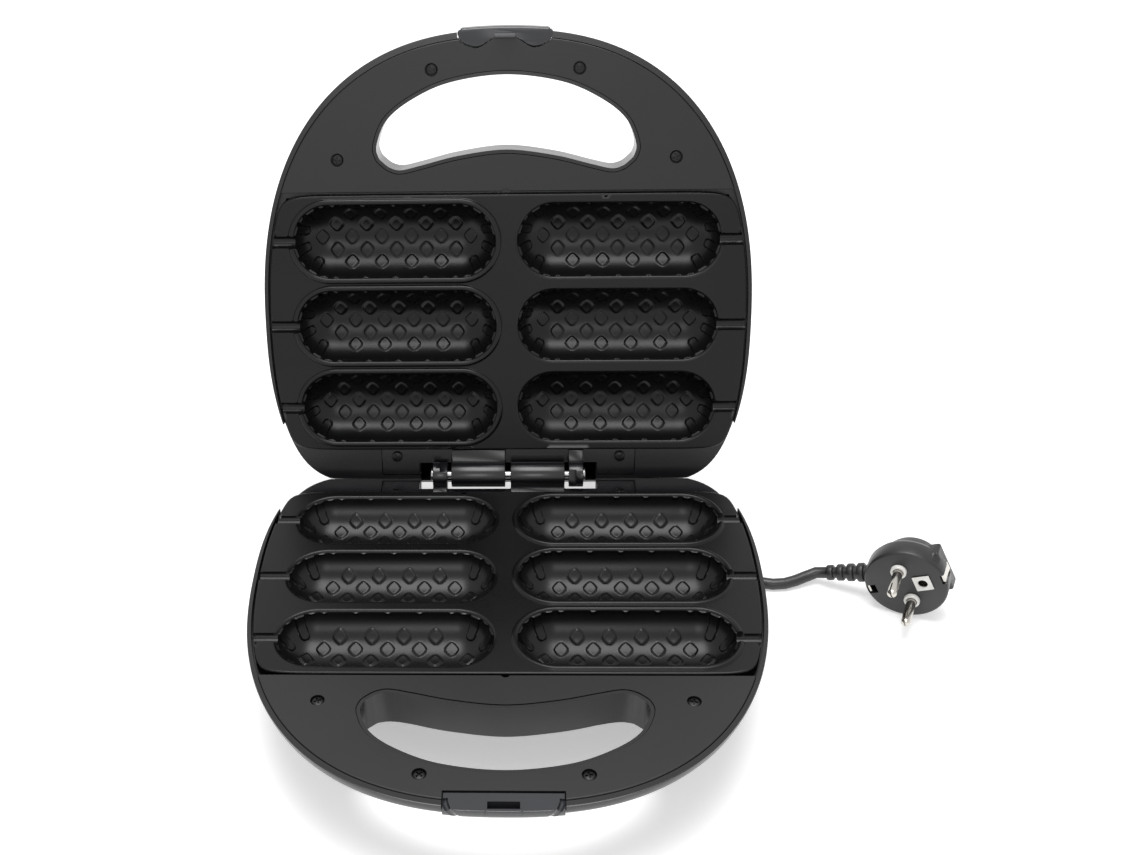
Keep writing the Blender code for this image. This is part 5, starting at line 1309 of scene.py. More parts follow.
    def pin(self, name: str, way: int) -> list[Item]:
        """Turn one pin with its rounded tip, and its white collar.

        Args:
            name: Left or right.
            way: Side of the plug on which it stands.

        Returns:
            The pin and the collar.
        """
        place, tip = self.at(0.0, way * self.pin_side), self.pin_length - self.pin_radius * 0.8
        profile = [(self.pin_radius, -self.pin_root), *dome(self.pin_radius, tip, self.pin_length, 7),
                   (0.3 * MM, self.pin_length)]
        pin = turned(f"plug_pin_{name}_turned", profile, NICKEL, place)
        half, depth = self.slit
        carve(pin, [block("pin_slit", (-half, -3 * MM, self.pin_length - depth),
                          (half, 3 * MM, self.pin_length + 1 * MM), place)])
        settle(pin, "base", [f"plug_pin_{name}"])
        wide, hole, top = self.collar_radius, self.pin_hole[0], self.collar_length
        profile = [(hole, 0.3 * MM), (wide, 0.3 * MM), (wide, top - 0.5 * MM),
                   (wide - 0.15 * MM, top - 0.15 * MM), (wide - 0.5 * MM, top), (hole, top)]
        collar = turned(f"plug_collar_{name}_moulded", profile, POLYAMIDE, place, closed_loop=True)
        settle(collar, "base", [f"plug_collar_{name}"])
        return [pin, collar]

    def earth(self) -> list[Item]:
        """Make the white earth frame and the two spring clips.

        Returns:
            The frame and the clips.
        """
        place, half = self.at(self.earth_side, 0.0), self.earth_frame / 2
        border = block("plug_earth_frame", (-half, -half, 0.3 * MM), (half, half, self.earth_rise), place,
                       POLYAMIDE)
        soften(border, 0.25 * MM, 2, 30.0)
        carve(border, [bore("earth_bore", self.earth_hole, (-2 * MM, OVERRUN), place)])
        made = [settle(border, "base", ["plug_earth_socket"])]
        thick, wide, deep = self.clip
        for name, way in SIDES:
            clip = block(f"plug_clip_{name}", (-thick, -wide, -deep), (thick, wide, -1.0 * MM),
                         self.at(way * self.clip_side, 0.0), NICKEL)
            soften(clip, 0.35 * MM, 3, 30.0)
            made.append(settle(clip, "base", [f"plug_earth_clip_{name}"]))
        return made

    def build(self) -> list[Item]:
        """Build every piece of the plug."""
        return [self.body(), *self.earth(), *(piece for name, way in SIDES for piece in self.pin(name, way))]


@dataclass
class GripHole:
    """Crescent between the grip and the body, as a smooth outline."""

    half_width: float = 62.6 * MM
    front: float = 201.7 * MM
    length: float = 35.1 * MM
    shares: tuple[Flat, ...] = ((0.0, 0.0), (0.43, 0.10), (0.73, 0.33), (0.92, 0.60), (1.0, 0.92),
                                (0.99, 1.085), (0.947, 1.174), (0.895, 1.239), (0.815, 1.268),
                                (0.663, 1.208), (0.371, 1.08), (0.0, 1.0))
    steps: int = 8

    def outline(self, margin: float) -> list[Flat]:
        """Run a smooth closed line through the crescent's points.

        Args:
            margin: How far the line lies outside the crescent.

        Returns:
            Points across and forward.
        """
        right = [(self.half_width * side, self.front - self.length * back) for side, back in self.shares]
        knots = [Vector(p) for p in right] + [Vector((-side, forward)) for side, forward in right[-2:0:-1]]
        fine = smooth_line([knots[-1]] + knots + knots[:2], self.steps)
        made = []
        for before, point, after in zip([fine[-1]] + fine, fine, fine[1:] + [fine[0]]):
            along = (after - before).normalized()
            made.append((point.x - along.y * margin, point.y + along.x * margin))
        return made

    def prism(self, name: str, margin: float, low: float, high: float) -> Item:
        """Make an upright cutter over the crescent, or over a wider one, between two heights."""
        return upright(name, self.outline(margin), low, high)


@dataclass
class HousingShell:
    """Moulded shell of a half: rounded body and grip, pocket, crescent, rear notch and bridge seat."""

    half: Half
    depth: float = 42.0 * MM
    grip_depth: float = 18.0 * MM
    bend: Flat = (118.0 * MM, 158.0 * MM)
    rear_round: float = 10.0 * MM
    side_round: float = 24.0 * MM
    front_round: float = 32.0 * MM
    rear_back: float = 9.0 * MM
    step_forward: float = 27.5 * MM
    step_depth: float = 5.0 * MM
    notch_half_width: float = 46.0 * MM
    notch_forward: float = 12.0 * MM
    bridge_half_width: float = 66.3 * MM
    bridge_front: float = 12.5 * MM
    bridge_bottom: float = 7.7 * MM
    wall: float = 2.2 * MM
    bridge_back: float = -2.3 * MM
    ledge: float = 3.0 * MM
    ledge_rear: float = 15.8 * MM
    rear_drop: float = 0.2 * MM
    notch_open: float = -13.0 * MM
    notch_steps: int = 16
    kept_top: float = -5.0 * MM
    notch_wall: float = 2.5 * MM
    crescent_wall: float = 1.7 * MM
    cross_wall: Flat = (143.35 * MM, 148.35 * MM)
    front_block: tuple[float, float, float] = (27.6 * MM, 206.8 * MM, -5.6 * MM)
    front_open: float = 228.0 * MM
    keeper_floor: float = -12.3 * MM
    latch_floor: float = -14.2 * MM
    relief_hole: float = 4.3 * MM
    relief_span: Flat = (-4.0 * MM, 13.0 * MM)
    lens_place: Flat = (12.0 * MM, 60.0 * MM)
    lens_hole: float = 3.3 * MM
    lens_span: Flat = (-46.0 * MM, -36.0 * MM)
    bottom_shares: tuple[float, ...] = (0.94, 0.88, 0.8, 0.71, 0.62, 0.53, 0.44, 0.33, 0.2, 0.08)
    inner_shares: tuple[float, ...] = (0.45, 0.6, 0.75, 0.88, 1.0)
    points: int = 288
    wall_steps: int = 18
    rim_round: float = 0.5 * MM

    def body_depth(self, forward: float) -> float:
        """Depth of the bottom, shallower under the grip."""
        return self.depth + (self.grip_depth - self.depth) * smooth_share(forward, *self.bend)

    def sweep(self, forward: float) -> float:
        """Inward sweep of the side wall at a forward distance."""
        rear = smooth_share(forward, -self.rear_back, self.step_forward)
        side = self.rear_round + (self.side_round - self.rear_round) * rear
        return side + (self.front_round - side) * smooth_share(forward, *self.bend)

    def wall_ring(self, angles: Sequence[float], turn: float, inset: float, lift: float) -> list[Vector]:
        """Make one ring down the rounded wall.

        Args:
            angles: Directions of the points.
            turn: 0 at the rim and a quarter turn at the bottom.
            inset: How far the ring lies inside the outer wall.
            lift: How far it lies above the bottom.

        Returns:
            The ring in the half's frame.
        """
        ring = []
        for angle in angles:
            forward = SHELL_EDGE.place(angle)[1]
            reach = SHELL_EDGE.reach(angle) - (self.sweep(forward) * (1.0 - math.cos(turn)) + inset)
            ahead = SHELL_EDGE.centre + reach * math.sin(angle)
            height = -(self.body_depth(ahead) - lift) * math.sin(turn)
            ring.append(spot(reach * math.cos(angle), ahead, height))
        return ring

    def bottom(self, last: Sequence[Vector], lift: float) -> list[list[Vector]]:
        """Make rings across the bottom toward its middle.

        Args:
            last: Lowest ring of the wall.
            lift: How far they lie above the bottom.

        Returns:
            The rings.
        """
        rings = []
        for share in self.bottom_shares:
            ring = []
            for point in last:
                forward = SHELL_EDGE.centre + (-point.y - SHELL_EDGE.centre) * share
                ring.append(spot(point.x * share, forward, lift - self.body_depth(forward)))
            rings.append(ring)
        return rings

    def outer(self, angles: Sequence[float], grow: float = 0.0) -> Item:
        """Make the outer solid.

        Args:
            angles: Directions of its points.
            grow: How far its wall lies outside the shell's own.

        Returns:
            The solid in the half's frame.
        """
        rings = [self.wall_ring(angles, turn, -grow, 0.0) for turn in quarter_turns(self.wall_steps)]
        edge, top = SHELL_EDGE.grown(grow), grow * 2
        rings[0] = edge.grown(-self.rim_round * 0.12).ring(angles, top - self.rim_round * 0.4)
        rim = edge.grown(-self.rim_round).ring(angles, top)
        rings = [rim] + rings + self.bottom(rings[-1], 0.0)
        return solid(f"{prefix(self.half)}_housing", rings, SHELL_PLASTIC)

    def pocket(self, angles: Sequence[float]) -> Item:
        """Make the cutter of the pocket for plate and cover, with the room under its ledge.

        Args:
            angles: Directions of its points.

        Returns:
            The cutter in the half's frame.
        """
        under = replace(POCKET_EDGE.grown(-self.ledge), rear=self.ledge_rear)
        rings = [POCKET_EDGE.ring(angles, OVERRUN), POCKET_EDGE.ring(angles, -self.step_depth),
                 under.ring(angles, -self.step_depth), under.ring(angles, -self.bridge_bottom - self.wall)]
        rings += [self.wall_ring(angles, math.pi / 2 * share, self.ledge, self.wall)
                  for share in self.inner_shares]
        return solid("pocket_cutter", rings + self.bottom(rings[-1], self.wall))

    def rear_step(self) -> Item:
        """Make the cutter that lowers and slopes the rear edge.

        Returns:
            The cutter in the half's frame.
        """
        share = (math.tau - OPEN_ANGLE) / 2
        steep, drop = -math.tan(share), self.rear_drop / -math.cos(share)
        level, back = self.step_depth + FACE_GAP / 2, self.rear_back + OVERRUN
        section = [(self.step_forward, OVERRUN), (self.step_forward, -level),
                   ((drop - level) / steep, -level), (-back, -back * steep - drop), (-back, OVERRUN)]
        reach = SHELL_EDGE.half_width + OVERRUN
        return solid("rear_step_cutter", [[Vector((side, -forward, height)) for forward, height in section]
                                          for side in (-reach, reach)])

    def notch(self) -> Item:
        """Make the cutter of the rear notch: open in the lower half, inside the skin in the lid.

        Returns:
            The cutter in the half's frame.
        """
        front, under = self.notch_forward, -self.depth - OVERRUN
        if self.half is Half.LOWER:
            section = [(front, OVERRUN), (self.notch_open, OVERRUN), (self.notch_open, under), (front, under)]
        else:
            back, low = -self.rear_back + self.wall, self.depth - self.wall
            round_back = [(back + self.rear_round * (1 - math.cos(turn)), -low * math.sin(turn))
                          for turn in quarter_turns(self.notch_steps)]
            section = [(front, OVERRUN), (back, OVERRUN), *round_back, (front, -low)]
        return solid("notch_cutter", [[spot(side, forward, height) for forward, height in section]
                                      for side in (-self.notch_half_width, self.notch_half_width)])

    def cutters(self) -> list[Item]:
        """Make the other cutters of the shell.

        Returns:
            The closed tools in the half's frame.
        """
        bridge = bar("bridge_cutter", (-self.bridge_half_width, self.bridge_half_width),
                     (self.bridge_back, self.bridge_front), (-self.bridge_bottom, OVERRUN))
        crescent = GripHole().prism("crescent_cutter", 0.0, -self.depth, OVERRUN)
        tools = [crescent, self.rear_step(), self.notch(), bridge]
        if self.half is Half.UPPER:
            side, forward = self.lens_place
            holes = [bore("lens_cutter", self.lens_hole, self.lens_span,
                          Matrix.Translation(spot(way * side, forward, 0.0))) for _, way in SIDES]
            return tools + [Latch().pocket(self.latch_floor, OVERRUN), *holes]
        relief = StrainRelief()
        turn = Matrix.Rotation(-math.pi / 2, 4, "X")
        turn = Matrix.Translation(spot(relief.side, 0.0, -relief.depth)) @ turn
        return tools + [Keeper().pocket("keeper_cutter", self.front_open, self.keeper_floor),
                        bore("relief_cutter", self.relief_hole, self.relief_span, turn)]

    def keep_walls(self, room: Item) -> None:
        """Take the walls round the crescent, notch, latch and hinge screws out of the room's cutter.

        Args:
            room: Cutter of the pocket.
        """
        side, whole = self.notch_half_width + self.notch_wall, SHELL_EDGE.half_width
        deep = -self.depth - OVERRUN
        block_side, block_rear, block_top = self.front_block
        carve(room, [GripHole().prism("crescent_wall", self.crescent_wall, -self.depth, 0.0),
                     bar("notch_wall", (-side, side), (self.notch_open, self.notch_forward + self.notch_wall),
                         (deep, self.kept_top)),
                     bar("cross_wall", (-whole, whole), self.cross_wall, (deep, self.kept_top)),
                     bar("front_block", (-block_side, block_side), (block_rear, self.front_open),
                         (-self.depth, block_top))])

    def build(self) -> Item:
        """Build the shell and dress it.

        Returns:
            The shell in world coordinates.
        """
        angles = SHELL_EDGE.angles(self.points)
        shell, room = self.outer(angles), self.pocket(angles)
        self.keep_walls(room)
        carve(shell, [room] + self.cutters(), angle=32.0)
        soften(shell, 0.35 * MM)
        shell.data.transform(placement(self.half))
        return settle(shell, self.half.value, [f"{prefix(self.half)}_shell"])


@dataclass
class GripCover:
    """Textured cover over the grip: rounded edge, crescent, latch pocket and four screw seats."""

    half: Half
    rear: float = 146.5 * MM
    rise: float = 0.4 * MM
    skirt: float = 4.7 * MM
    edge_round: float = 0.6 * MM
    hole_margin: float = 2.0 * MM
    screw_side: Flat = (82.05 * MM, 162.4 * MM)
    screw_front: Flat = (35.2 * MM, 204.3 * MM)
    seat: Flat = (3.2 * MM, -1.7 * MM)
    pry_notch: tuple[Flat, Flat] = ((1.9 * MM, -1.2 * MM), (2.6 * MM, OVERRUN))
    under: float = -20.0 * MM
    front_open: float = 230.0 * MM
    points: int = 288

    def screws(self) -> list[Flat]:
        """Places of the four screws, in the order of their nodes."""
        return [(way * side, forward) for side, forward in (self.screw_side, self.screw_front)
                for _, way in SIDES]

    def ring(self, inset: float, height: float) -> list[Vector]:
        """Make one ring: a straight rear edge and the outline's front arc.

        Args:
            inset: How far it lies inside the edge.
            height: Height above the plate face.

        Returns:
            The ring in the half's frame.
        """
        edge = COVER_EDGE.grown(-inset)
        start = edge.angle_at(self.rear + inset)
        arc = [start + (math.pi - 2 * start) * k / self.points for k in range(self.points + 1)]
        return edge.ring(arc, height)

    def build(self) -> Item:
        """Build the cover and dress it.

        Returns:
            The cover in world coordinates.
        """
        edge = self.edge_round
        rings = [self.ring(edge * (1 - math.sin(t)), self.rise - edge * (1 - math.cos(t)))
                 for t in quarter_turns(4)]
        cover = solid(f"{prefix(self.half)}_grip_cover", rings + [self.ring(0.0, -self.skirt)], COVER_PLASTIC)
        cuts = [GripHole().prism("cover_hole", self.hole_margin, self.under, OVERRUN)]
        if self.half is Half.LOWER:
            cuts.append(Keeper().pocket("cover_pocket", self.front_open, self.under))
        else:
            cuts.append(Latch().pocket(self.under, OVERRUN))
        for side, forward in self.screws():
            cuts.append(bore("screw_seat", self.seat[0], (self.seat[1], OVERRUN),
                             Matrix.Translation(spot(side, forward, 0.0))))
        place = Matrix.Translation(spot(0.0, self.rear - 0.4 * MM, 0.0))
        cuts.append(turned("pry_notch", self.pry_notch, None, place, 32))
        carve(cover, cuts)
        soften(cover, 0.28 * MM)
        cover.data.transform(placement(self.half))
        return settle(cover, self.half.value, [f"{prefix(self.half)}_handle_cover"])


@dataclass
class CrossScrew:
    """Pan head screw with a cross recess."""

    node: str
    half: Half
    side: float
    forward: float
    seat: float
    head_radius: float = 2.75 * MM
    head_height: float = 1.6 * MM
    head_edge: float = 0.2 * MM
    shank_radius: float = 1.4 * MM
    length: float = 9.0 * MM
    recess: Point = (1.75 * MM, 0.42 * MM, 1.0 * MM)
    turn: float = 0.0

    def build(self) -> Item:
        """Turn the screw, cut its recess and dress it.

        Returns:
            The screw in world coordinates.
        """
        place = placement(self.half) @ Matrix.Translation(spot(self.side, self.forward, self.seat))
        place = place @ Matrix.Rotation(self.turn, 4, "Z")
        shank, head, top = self.shank_radius, self.head_radius, self.head_height
        profile = [(0.4 * MM, -self.length), (shank, -self.length + 1.4 * MM), (shank, 0.0),
                   (head - self.head_edge, 0.0), (head, self.head_edge), *dome(head, top * 0.45, top, 8),
                   (0.2 * MM, top)]
        screw = turned(f"{self.node}_head", profile, BLACK_OXIDE, place)
        long, wide, deep = self.recess
        carve(screw, [block("recess", (-x, -y, top - deep), (x, y, top + deep), place)
                      for x, y in ((long, wide), (wide, long))])
        return settle(screw, self.half.value, [self.node])


@dataclass
class HingeBridge:
    """Screwed-on hinge bridge of a half: strip with ears, two arms and two barrels round the pin."""

    half: Half
    half_width: float = 66.0 * MM
    strip: Flat = (4.4 * MM, 12.2 * MM)
    top: float = -5.0 * MM
    bottom: float = -7.4 * MM
    ear_inner: float = 46.3 * MM
    ear_rear: float = -2.0 * MM
    arm_top: float = -2.5 * MM
    barrel_radius: float = 6.5 * MM
    spans: tuple[Flat, ...] = ((1.4 * MM, 29.35 * MM), (-39.0 * MM, -31.5 * MM))
    notch: Flat = (3.9 * MM, 1.6 * MM)
    notch_reach: float = 7.0 * MM
    bore_radius: float = 2.15 * MM
    bore_reach: float = 40.0 * MM
    bevel: float = 0.4 * MM

    def barrel(self, span: Flat) -> Item:
        """Make one barrel with bevelled ends.

        Args:
            span: Its two ends across the half.

        Returns:
            The barrel about the hinge axis.
        """
        radius, edge, (low, high) = self.barrel_radius, self.bevel, span
        profile = [(radius - edge, low), (radius - edge * 0.3, low + edge * 0.3), (radius, low + edge),
                   (radius, high - edge), (radius - edge * 0.3, high - edge * 0.3), (radius - edge, high)]
        return turned("barrel", profile, SHELL_PLASTIC, Matrix.Rotation(math.pi / 2, 4, "Y"), 72)

    def build(self) -> Item:
        """Join the bars and barrels, cut notch and bore, and dress the bridge.

        Returns:
            The bridge in world coordinates.
        """
        heights, front = (self.bottom, self.top), self.strip[1]
        bridge = bar(f"{prefix(self.half)}_bridge", (-self.half_width, self.half_width), self.strip, heights,
                     SHELL_PLASTIC)
        joined = []
        for _, way in SIDES:
            ends = sorted((way * self.ear_inner, way * self.half_width))
            joined.append(bar("ear", ends, (self.ear_rear, front), heights, SHELL_PLASTIC))
        for span in self.spans:
            joined.append(bar("arm", span, (0.0, front), (self.bottom, self.arm_top), SHELL_PLASTIC))
        carve(bridge, joined, "UNION")
        soften(bridge, self.bevel)
        carve(bridge, [self.barrel(span) for span in self.spans], "UNION")
        end, (long, deep), wide = self.spans[1][1], self.notch, self.notch_reach
        hole = bore("bore", self.bore_radius, (-self.bore_reach, self.bore_reach),
                    Matrix.Rotation(math.pi / 2, 4, "Y"))
        notch = bar("barrel_notch", (end - long, end + 0.1 * MM), (-wide, wide),
                    (self.barrel_radius + FACE_GAP / 2 - deep, 10 * MM))
        carve(bridge, [hole, notch], angle=32.0)
        bridge.data.transform(placement(self.half))
        return settle(bridge, self.half.value, [f"{prefix(self.half)}_hinge_bridge"])


@dataclass
class HingePin:
    """Steel pin through the four barrels, with a rounded head at each end."""

    radius: float = 2.0 * MM
    head_radius: float = 3.2 * MM
    head_length: float = 1.2 * MM
    reach: float = 39.3 * MM

    def build(self) -> Item:
        """Turn the pin and dress it.

        Returns:
            The pin in world coordinates.
        """
        end = self.reach + self.head_length
        half = [(self.radius, self.reach), (self.head_radius, self.reach),
                *dome(self.head_radius, self.reach + self.head_length * 0.4, end, 6), (0.2 * MM, end)]
        profile = [(radius, -height) for radius, height in reversed(half)] + half
        turn = placement(Half.LOWER) @ Matrix.Rotation(math.pi / 2, 4, "Y")
        pin = turned("pin_through_barrels", profile, DRAWN_STEEL, turn)
        return settle(pin, "base", ["hinge_pin"])


@dataclass
class Latch:
    """Latch with an arched rear edge, a curved front face, rounded corners and a hook tongue."""

    half_width: float = 22.5 * MM
    reach: float = 223.6 * MM
    top: float = 0.4 * MM
    bottom: float = -13.0 * MM
    edge_depth: float = 9.4 * MM
    shares: tuple[Flat, ...] = ((1.0, 0.36), (0.91, 0.74), (0.6, 1.0), (0.3, 0.62), (0.12, 0.34), (0.0, 0.29))
    face_drop: float = 1.0 * MM
    corner: float = 1.2 * MM
    line_steps: int = 8
    half_depth: float = 4.6 * MM
    middle: float = 219.6 * MM
    pocket_gap: float = 0.3 * MM
    pocket_limit: float = 2.0 * MM
    pocket_front: Flat = (218.6 * MM, 228.0 * MM)
    pin_forward: float = 221.4 * MM
    pin_height: float = -10.0 * MM
    pin_radius: float = 1.25 * MM
    hook_half_width: float = 5.0 * MM
    hook: Flat = (219.28 * MM, 220.88 * MM)
    hook_root: float = -10.0 * MM
    hook_top: float = 5.6 * MM
    barb: Flat = (0.6 * MM, 1.2 * MM)
    barb_overlap: float = 0.8 * MM
    bore_reach: float = 24.0 * MM
    edge_round: float = 0.8 * MM

    def outline(self) -> list[Flat]:
        """Run a smooth line over the arches of the rear edge and the bow of the front face.

        Returns:
            Points across and forward, the rear edge first.
        """
        right = [(self.half_width * side, self.reach - self.edge_depth * back) for side, back in self.shares]
        knots = [Vector(p) for p in right + [(-side, forward) for side, forward in right[-2::-1]]]
        fine = smooth_line([knots[0]] + knots + [knots[-1]], self.line_steps)
        rear = [tuple(point) for point in fine] + [(-self.half_width, right[0][1])]
        return rear + bowed_front(self.half_width, self.reach, self.face_drop, self.corner)

    def pocket(self, low: float, high: float) -> Item:
        """Make the cutter of the latch's pocket, which follows its arches with an even gap.

        Args:
            low: Lower height.
            high: Upper height.

        Returns:
            The cutter in the half's frame.
        """
        wide, (rear, front) = self.half_width + self.pocket_gap, self.pocket_front
        # The front face's corners lie behind this limit too, so the line crosses itself in the latch's room
        kept = [point for point in self.outline() if point[1] < self.reach - self.pocket_limit]
        line = [(side * wide / self.half_width, min(forward, rear) - self.pocket_gap)
                for side, forward in kept]
        return upright("latch_pocket", [(wide, front), *line, (-wide, front)], low, high)

    def pin_place(self) -> Matrix:
        """Place of the pin in the half's frame, its Z along the pin."""
        place = spot(0.0, self.pin_forward, self.pin_height)
        return Matrix.Translation(place) @ Matrix.Rotation(math.pi / 2, 4, "Y")

    def pin(self) -> Item:
        """Turn the pin that the latch swings on.

        Returns:
            The pin in world coordinates.
        """
        reach, radius, edge = self.half_width - 0.1 * MM, self.pin_radius - 0.05 * MM, 0.2 * MM
        half = [(radius, reach - edge), (radius - edge, reach)]
        profile = [(wide, -end) for wide, end in reversed(half)] + half
        item = turned("latch_pin_turned", profile, DRAWN_STEEL, placement(Half.UPPER) @ self.pin_place(), 32)
        return settle(item, "lid", ["latch_pin"])

    def build(self) -> Item:
        """Loft the latch, join its hook, bore it and dress it.

        Returns:
            The latch in world coordinates.
        """
        rings = moulded_rings(self.outline(), self.middle, (self.half_width, self.half_depth),
                              self.edge_round, (self.top, self.bottom))
        latch = solid("latch_moulding", rings, LATCH_PLASTIC)
        sides, rear = (-self.hook_half_width, self.hook_half_width), self.hook[0]
        tongue = bar("hook_tongue", sides, self.hook, (self.hook_root, self.hook_top), LATCH_PLASTIC)
        reach, height = self.barb
        barb = bar("hook_barb", sides, (rear - reach, rear + self.barb_overlap),
                   (self.hook_top - height, self.hook_top), LATCH_PLASTIC)
        carve(tongue, [barb], "UNION")
        soften(tongue, 0.2 * MM)
        carve(latch, [tongue], "UNION")
        span = (-self.bore_reach, self.bore_reach)
        carve(latch, [bore("latch_bore", self.pin_radius, span, self.pin_place(), 32)], angle=34.0)
        latch.data.transform(placement(Half.UPPER))
        return settle(latch, "latch_lever", ["latch"])


@dataclass
class Keeper:
    """Keeper in the lower half's front: bowed face with two seams, ramps at its sides and the hook's slot."""

    half_width: float = 25.1 * MM
    rear: float = 213.4 * MM
    reach: float = 223.6 * MM
    face_drop: float = 1.0 * MM
    half_depth: float = 5.0 * MM
    bottom: float = -12.0 * MM
    top: float = -0.3 * MM
    edge_round: float = 0.5 * MM
    pocket_gap: float = 0.3 * MM
    shell_reach: float = 1.3 * MM
    slot_half_width: float = 6.7 * MM
    slot: Flat = (218.2 * MM, 222.1 * MM)
    slot_depth: float = 4.5 * MM
    seam_side: float = 7.6 * MM
    seam_half_width: float = 0.25 * MM
    seam: Flat = (223.05 * MM, 226.0 * MM)
    ramp_start: Flat = (24.3 * MM, 216.6 * MM)
    ramp_inward: float = 10.5 * MM
    ramp_top_run: float = 6.4 * MM
    ramp_top_share: float = 0.35
    ramp_turn: float = 0.95
    ramp_bow: float = 32.0 * MM
    ramp_drop: float = 18.0 * MM
    ramp_level: float = -0.4 * MM
    ramp_radii: Flat = (1.7 * MM, 1.3 * MM)
    ramp_steps: int = 24
    ramp_sides: int = 20

    def pocket(self, name: str, front: float, low: float) -> Item:
        """Make the cutter of the keeper's pocket, from its rear to a forward place and down to a height."""
        wide = self.half_width + self.pocket_gap
        return bar(name, (-wide, wide), (self.rear - self.pocket_gap, front), (low, OVERRUN))

    def ramp(self, way: int) -> Item:
        """Make the cutter of one curved finger ramp, from the top's outer corner down the front.

        Args:
            way: Side of the ramp, -1 or 1.

        Returns:
            The cutter in the half's frame.
        """
        path = []
        for step in range(self.ramp_steps + 1):
            share = step / self.ramp_steps
            turn = self.ramp_turn * max(0.0, share - self.ramp_top_share) / (1.0 - self.ramp_top_share)
            side = self.ramp_start[0] - self.ramp_inward * share ** 1.6
            forward = self.ramp_start[1] + self.ramp_top_run * min(1.0, share / self.ramp_top_share)
            path.append(spot(way * side, forward - self.ramp_bow * (1 - math.cos(turn)),
                             self.ramp_level - self.ramp_drop * math.sin(turn)))
        rings, (wide, deep) = [], self.ramp_radii
        for before, point, after in zip([path[0]] + path, path, path[1:] + [path[-1]]):
            along = (after - before).normalized()
            across = along.cross(Vector((0.0, 1.0, 0.2))).normalized()
            over = along.cross(across)
            turns = [math.tau * k / self.ramp_sides for k in range(self.ramp_sides)]
            rings.append([point + across * (wide * math.cos(a)) + over * (deep * math.sin(a)) for a in turns])
        return solid("ramp_cut", rings)

    def build(self) -> Item:
        """Loft the keeper, cut slot, seams and ramps, and dress it.

        Returns:
            The keeper in world coordinates.
        """
        line = bowed_front(self.half_width, self.reach, self.face_drop)
        line += [(self.half_width, self.rear), (-self.half_width, self.rear)]
        rings = moulded_rings(line, (self.rear + self.reach) / 2, (self.half_width, self.half_depth),
                              self.edge_round, (self.top, self.bottom))
        keeper = solid("keeper_moulding", rings, LATCH_PLASTIC)
        wide = self.slot_half_width
        cuts = [bar("slot_cut", (-wide, wide), self.slot, (-self.slot_depth, OVERRUN))]
        for _, way in SIDES:
            side = way * self.seam_side
            cuts.append(bar("seam_cut", (side - self.seam_half_width, side + self.seam_half_width), self.seam,
                            (self.bottom - 1 * MM, 2 * MM)))
            cuts.append(self.ramp(way))
        shell = HousingShell(Half.LOWER)
        carve(keeper, [shell.outer(SHELL_EDGE.angles(shell.points), self.shell_reach)], "INTERSECT")
        carve(keeper, cuts, angle=34.0)
        soften(keeper, 0.15 * MM)
        keeper.data.transform(placement(Half.LOWER))
        return settle(keeper, "base", ["latch_keeper"])


@dataclass
class Foot:
    """Rubber foot with a rounded rim and a shallow cup in its sole."""

    node: str
    side: float
    forward: float
    radius: float = 7.0 * MM
    height: float = 5.0 * MM
    seat: float = -42.0 * MM

    def build(self) -> Item:
        """Turn the foot and dress it.

        Returns:
            The foot in world coordinates.
        """
        radius, sole = self.radius, -self.height
        cup = [(1.0 * MM, sole + 0.6 * MM), (3.6 * MM, sole + 0.5 * MM), (4.4 * MM, sole + 0.1 * MM),
               (5.2 * MM, sole)]
        rim = [(radius - 0.8 * MM, sole), (radius - 0.25 * MM, sole + 0.2 * MM), (radius, sole + 0.8 * MM)]
        plug = [(radius, -0.4 * MM), (radius - 0.3 * MM, -0.1 * MM), (2.4 * MM, -0.1 * MM),
                (2.4 * MM, 3.6 * MM)]
        profile = cup + rim + plug
        place = placement(Half.LOWER) @ Matrix.Translation(spot(self.side, self.forward, self.seat))
        foot = turned(f"{self.node}_pad", profile, RUBBER, place, 56)
        return settle(foot, "base", [self.node])


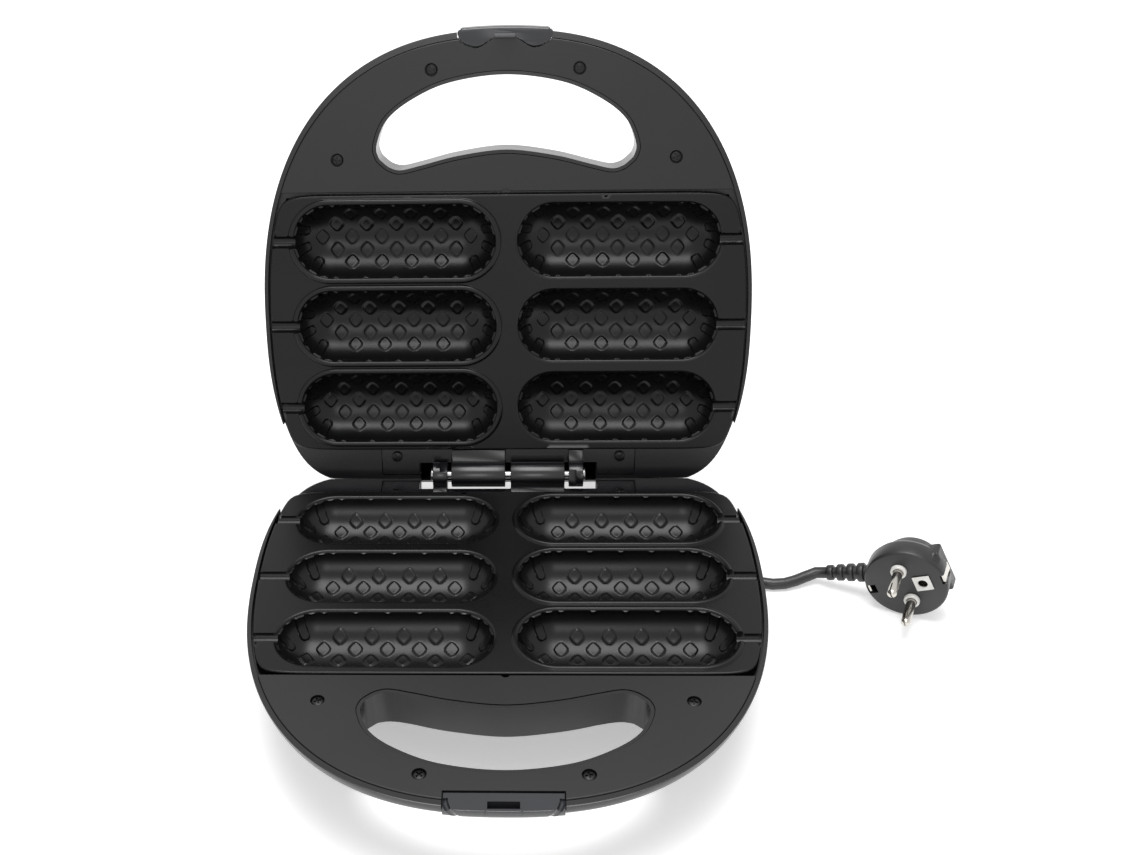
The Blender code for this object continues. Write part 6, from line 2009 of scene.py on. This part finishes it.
@dataclass
class StrainRelief:
    """Ribbed vinyl sleeve that leads the cord out of the lower shell."""

    side: float = 75.0 * MM
    depth: float = 30.0 * MM
    reach: float = 35.0 * MM
    wall_back: float = 9.0 * MM
    radius: float = 4.0 * MM
    end_radius: float = 3.4 * MM
    flange: float = 6.0 * MM
    flange_span: Flat = (4.4 * MM, 6.2 * MM)
    rib_height: float = 0.55 * MM
    ribs: int = 6

    def build(self) -> Item:
        """Turn the sleeve with its ribs and dress it.

        Returns:
            The sleeve in world coordinates.
        """
        start, (inner, outer) = self.wall_back + 4.0 * MM, self.flange_span
        pitch = (self.reach - 2 * MM - start) / self.ribs
        profile = [(self.flange, inner), (self.flange, outer), (self.radius, outer), (self.radius, start)]
        for rib in range(self.ribs):
            wide = self.radius + (self.end_radius - self.radius) * rib / self.ribs
            groove, at = wide - self.rib_height, start + pitch * rib
            profile += [(wide, at + pitch * 0.1), (wide, at + pitch * 0.55), (groove, at + pitch * 0.65),
                        (groove, at + pitch * 0.95)]
        profile += [(self.end_radius, self.reach - 1.6 * MM), (self.end_radius - 0.2 * MM, self.reach)]
        turn = placement(Half.LOWER) @ Matrix.Translation((self.side, 0.0, -self.depth - FACE_GAP / 2))
        sleeve = turned("relief_sleeve", profile, VINYL, turn @ Matrix.Rotation(-math.pi / 2, 4, "X"), 56)
        return settle(sleeve, "base", ["cord_strain_relief"])


def dress(finishes: dict[str, Finish]) -> None:
    """Give every carried-over CAD node the material of its finish.

    Args:
        finishes: Finish by node name.
    """
    for name, finish in finishes.items():
        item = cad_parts[name]
        for place in item.material_slots:
            place.link = "OBJECT"
            place.material = finish.material()
        LOG.info("%s dressed as %s", name, finish.name)


def screws(half: Half) -> None:
    """Drive a half's four cover screws and two hinge screws, each with its recess turned its own way.

    Args:
        half: Half that holds them.
    """
    names = ("left_rear", "right_rear", "left_front", "right_front")
    for index, (name, (side, forward)) in enumerate(zip(names, GripCover(half).screws())):
        node = f"{prefix(half)}_cover_screw_{name}"
        CrossScrew(node, half, side, forward, COVER_SCREW_SEAT, turn=0.4 + index).build()
    side, forward = HINGE_SCREW
    for index, (name, way) in enumerate(SIDES):
        node = f"{prefix(half)}_hinge_screw_{name}"
        CrossScrew(node, half, way * side, forward, HINGE_SCREW_SEAT, turn=0.9 + index).build()


def main() -> None:
    """Build the scene piece by piece."""
    logging.basicConfig(level=logging.INFO, format="%(message)s")
    Studio().build()
    plug, relief = MainsPlug(), StrainRelief()
    SupplyCord().build(plug, relief, plug.build())
    for half in Half:
        CookingPlate(half).build()
        HousingShell(half).build()
        GripCover(half).build()
        screws(half)
        HingeBridge(half).build()
    HingePin().build()
    latch = Latch()
    latch.build()
    latch.pin()
    Keeper().build()
    for name, (side, forward) in FOOT_PLACES.items():
        Foot(f"foot_{name}", side, forward).build()
    relief.build()
    dress({"lower_heater": ALUMINISED, "upper_heater": ALUMINISED, "lower_heat_shield": ALUMINISED,
           "upper_heat_shield": ALUMINISED, "thermostat": DRAWN_STEEL, "thermal_fuse": POLYAMIDE,
           "terminal_block": STEATITE, "latch_spring": DRAWN_STEEL,
           "heating_lamp_lens": RED_LENS, "ready_lamp_lens": GREEN_LENS, "lamp_holder": POLYAMIDE,
           "plug_earth_contact": NICKEL, "cord_tie": VINYL})


if __name__ == "__main__":
    main()
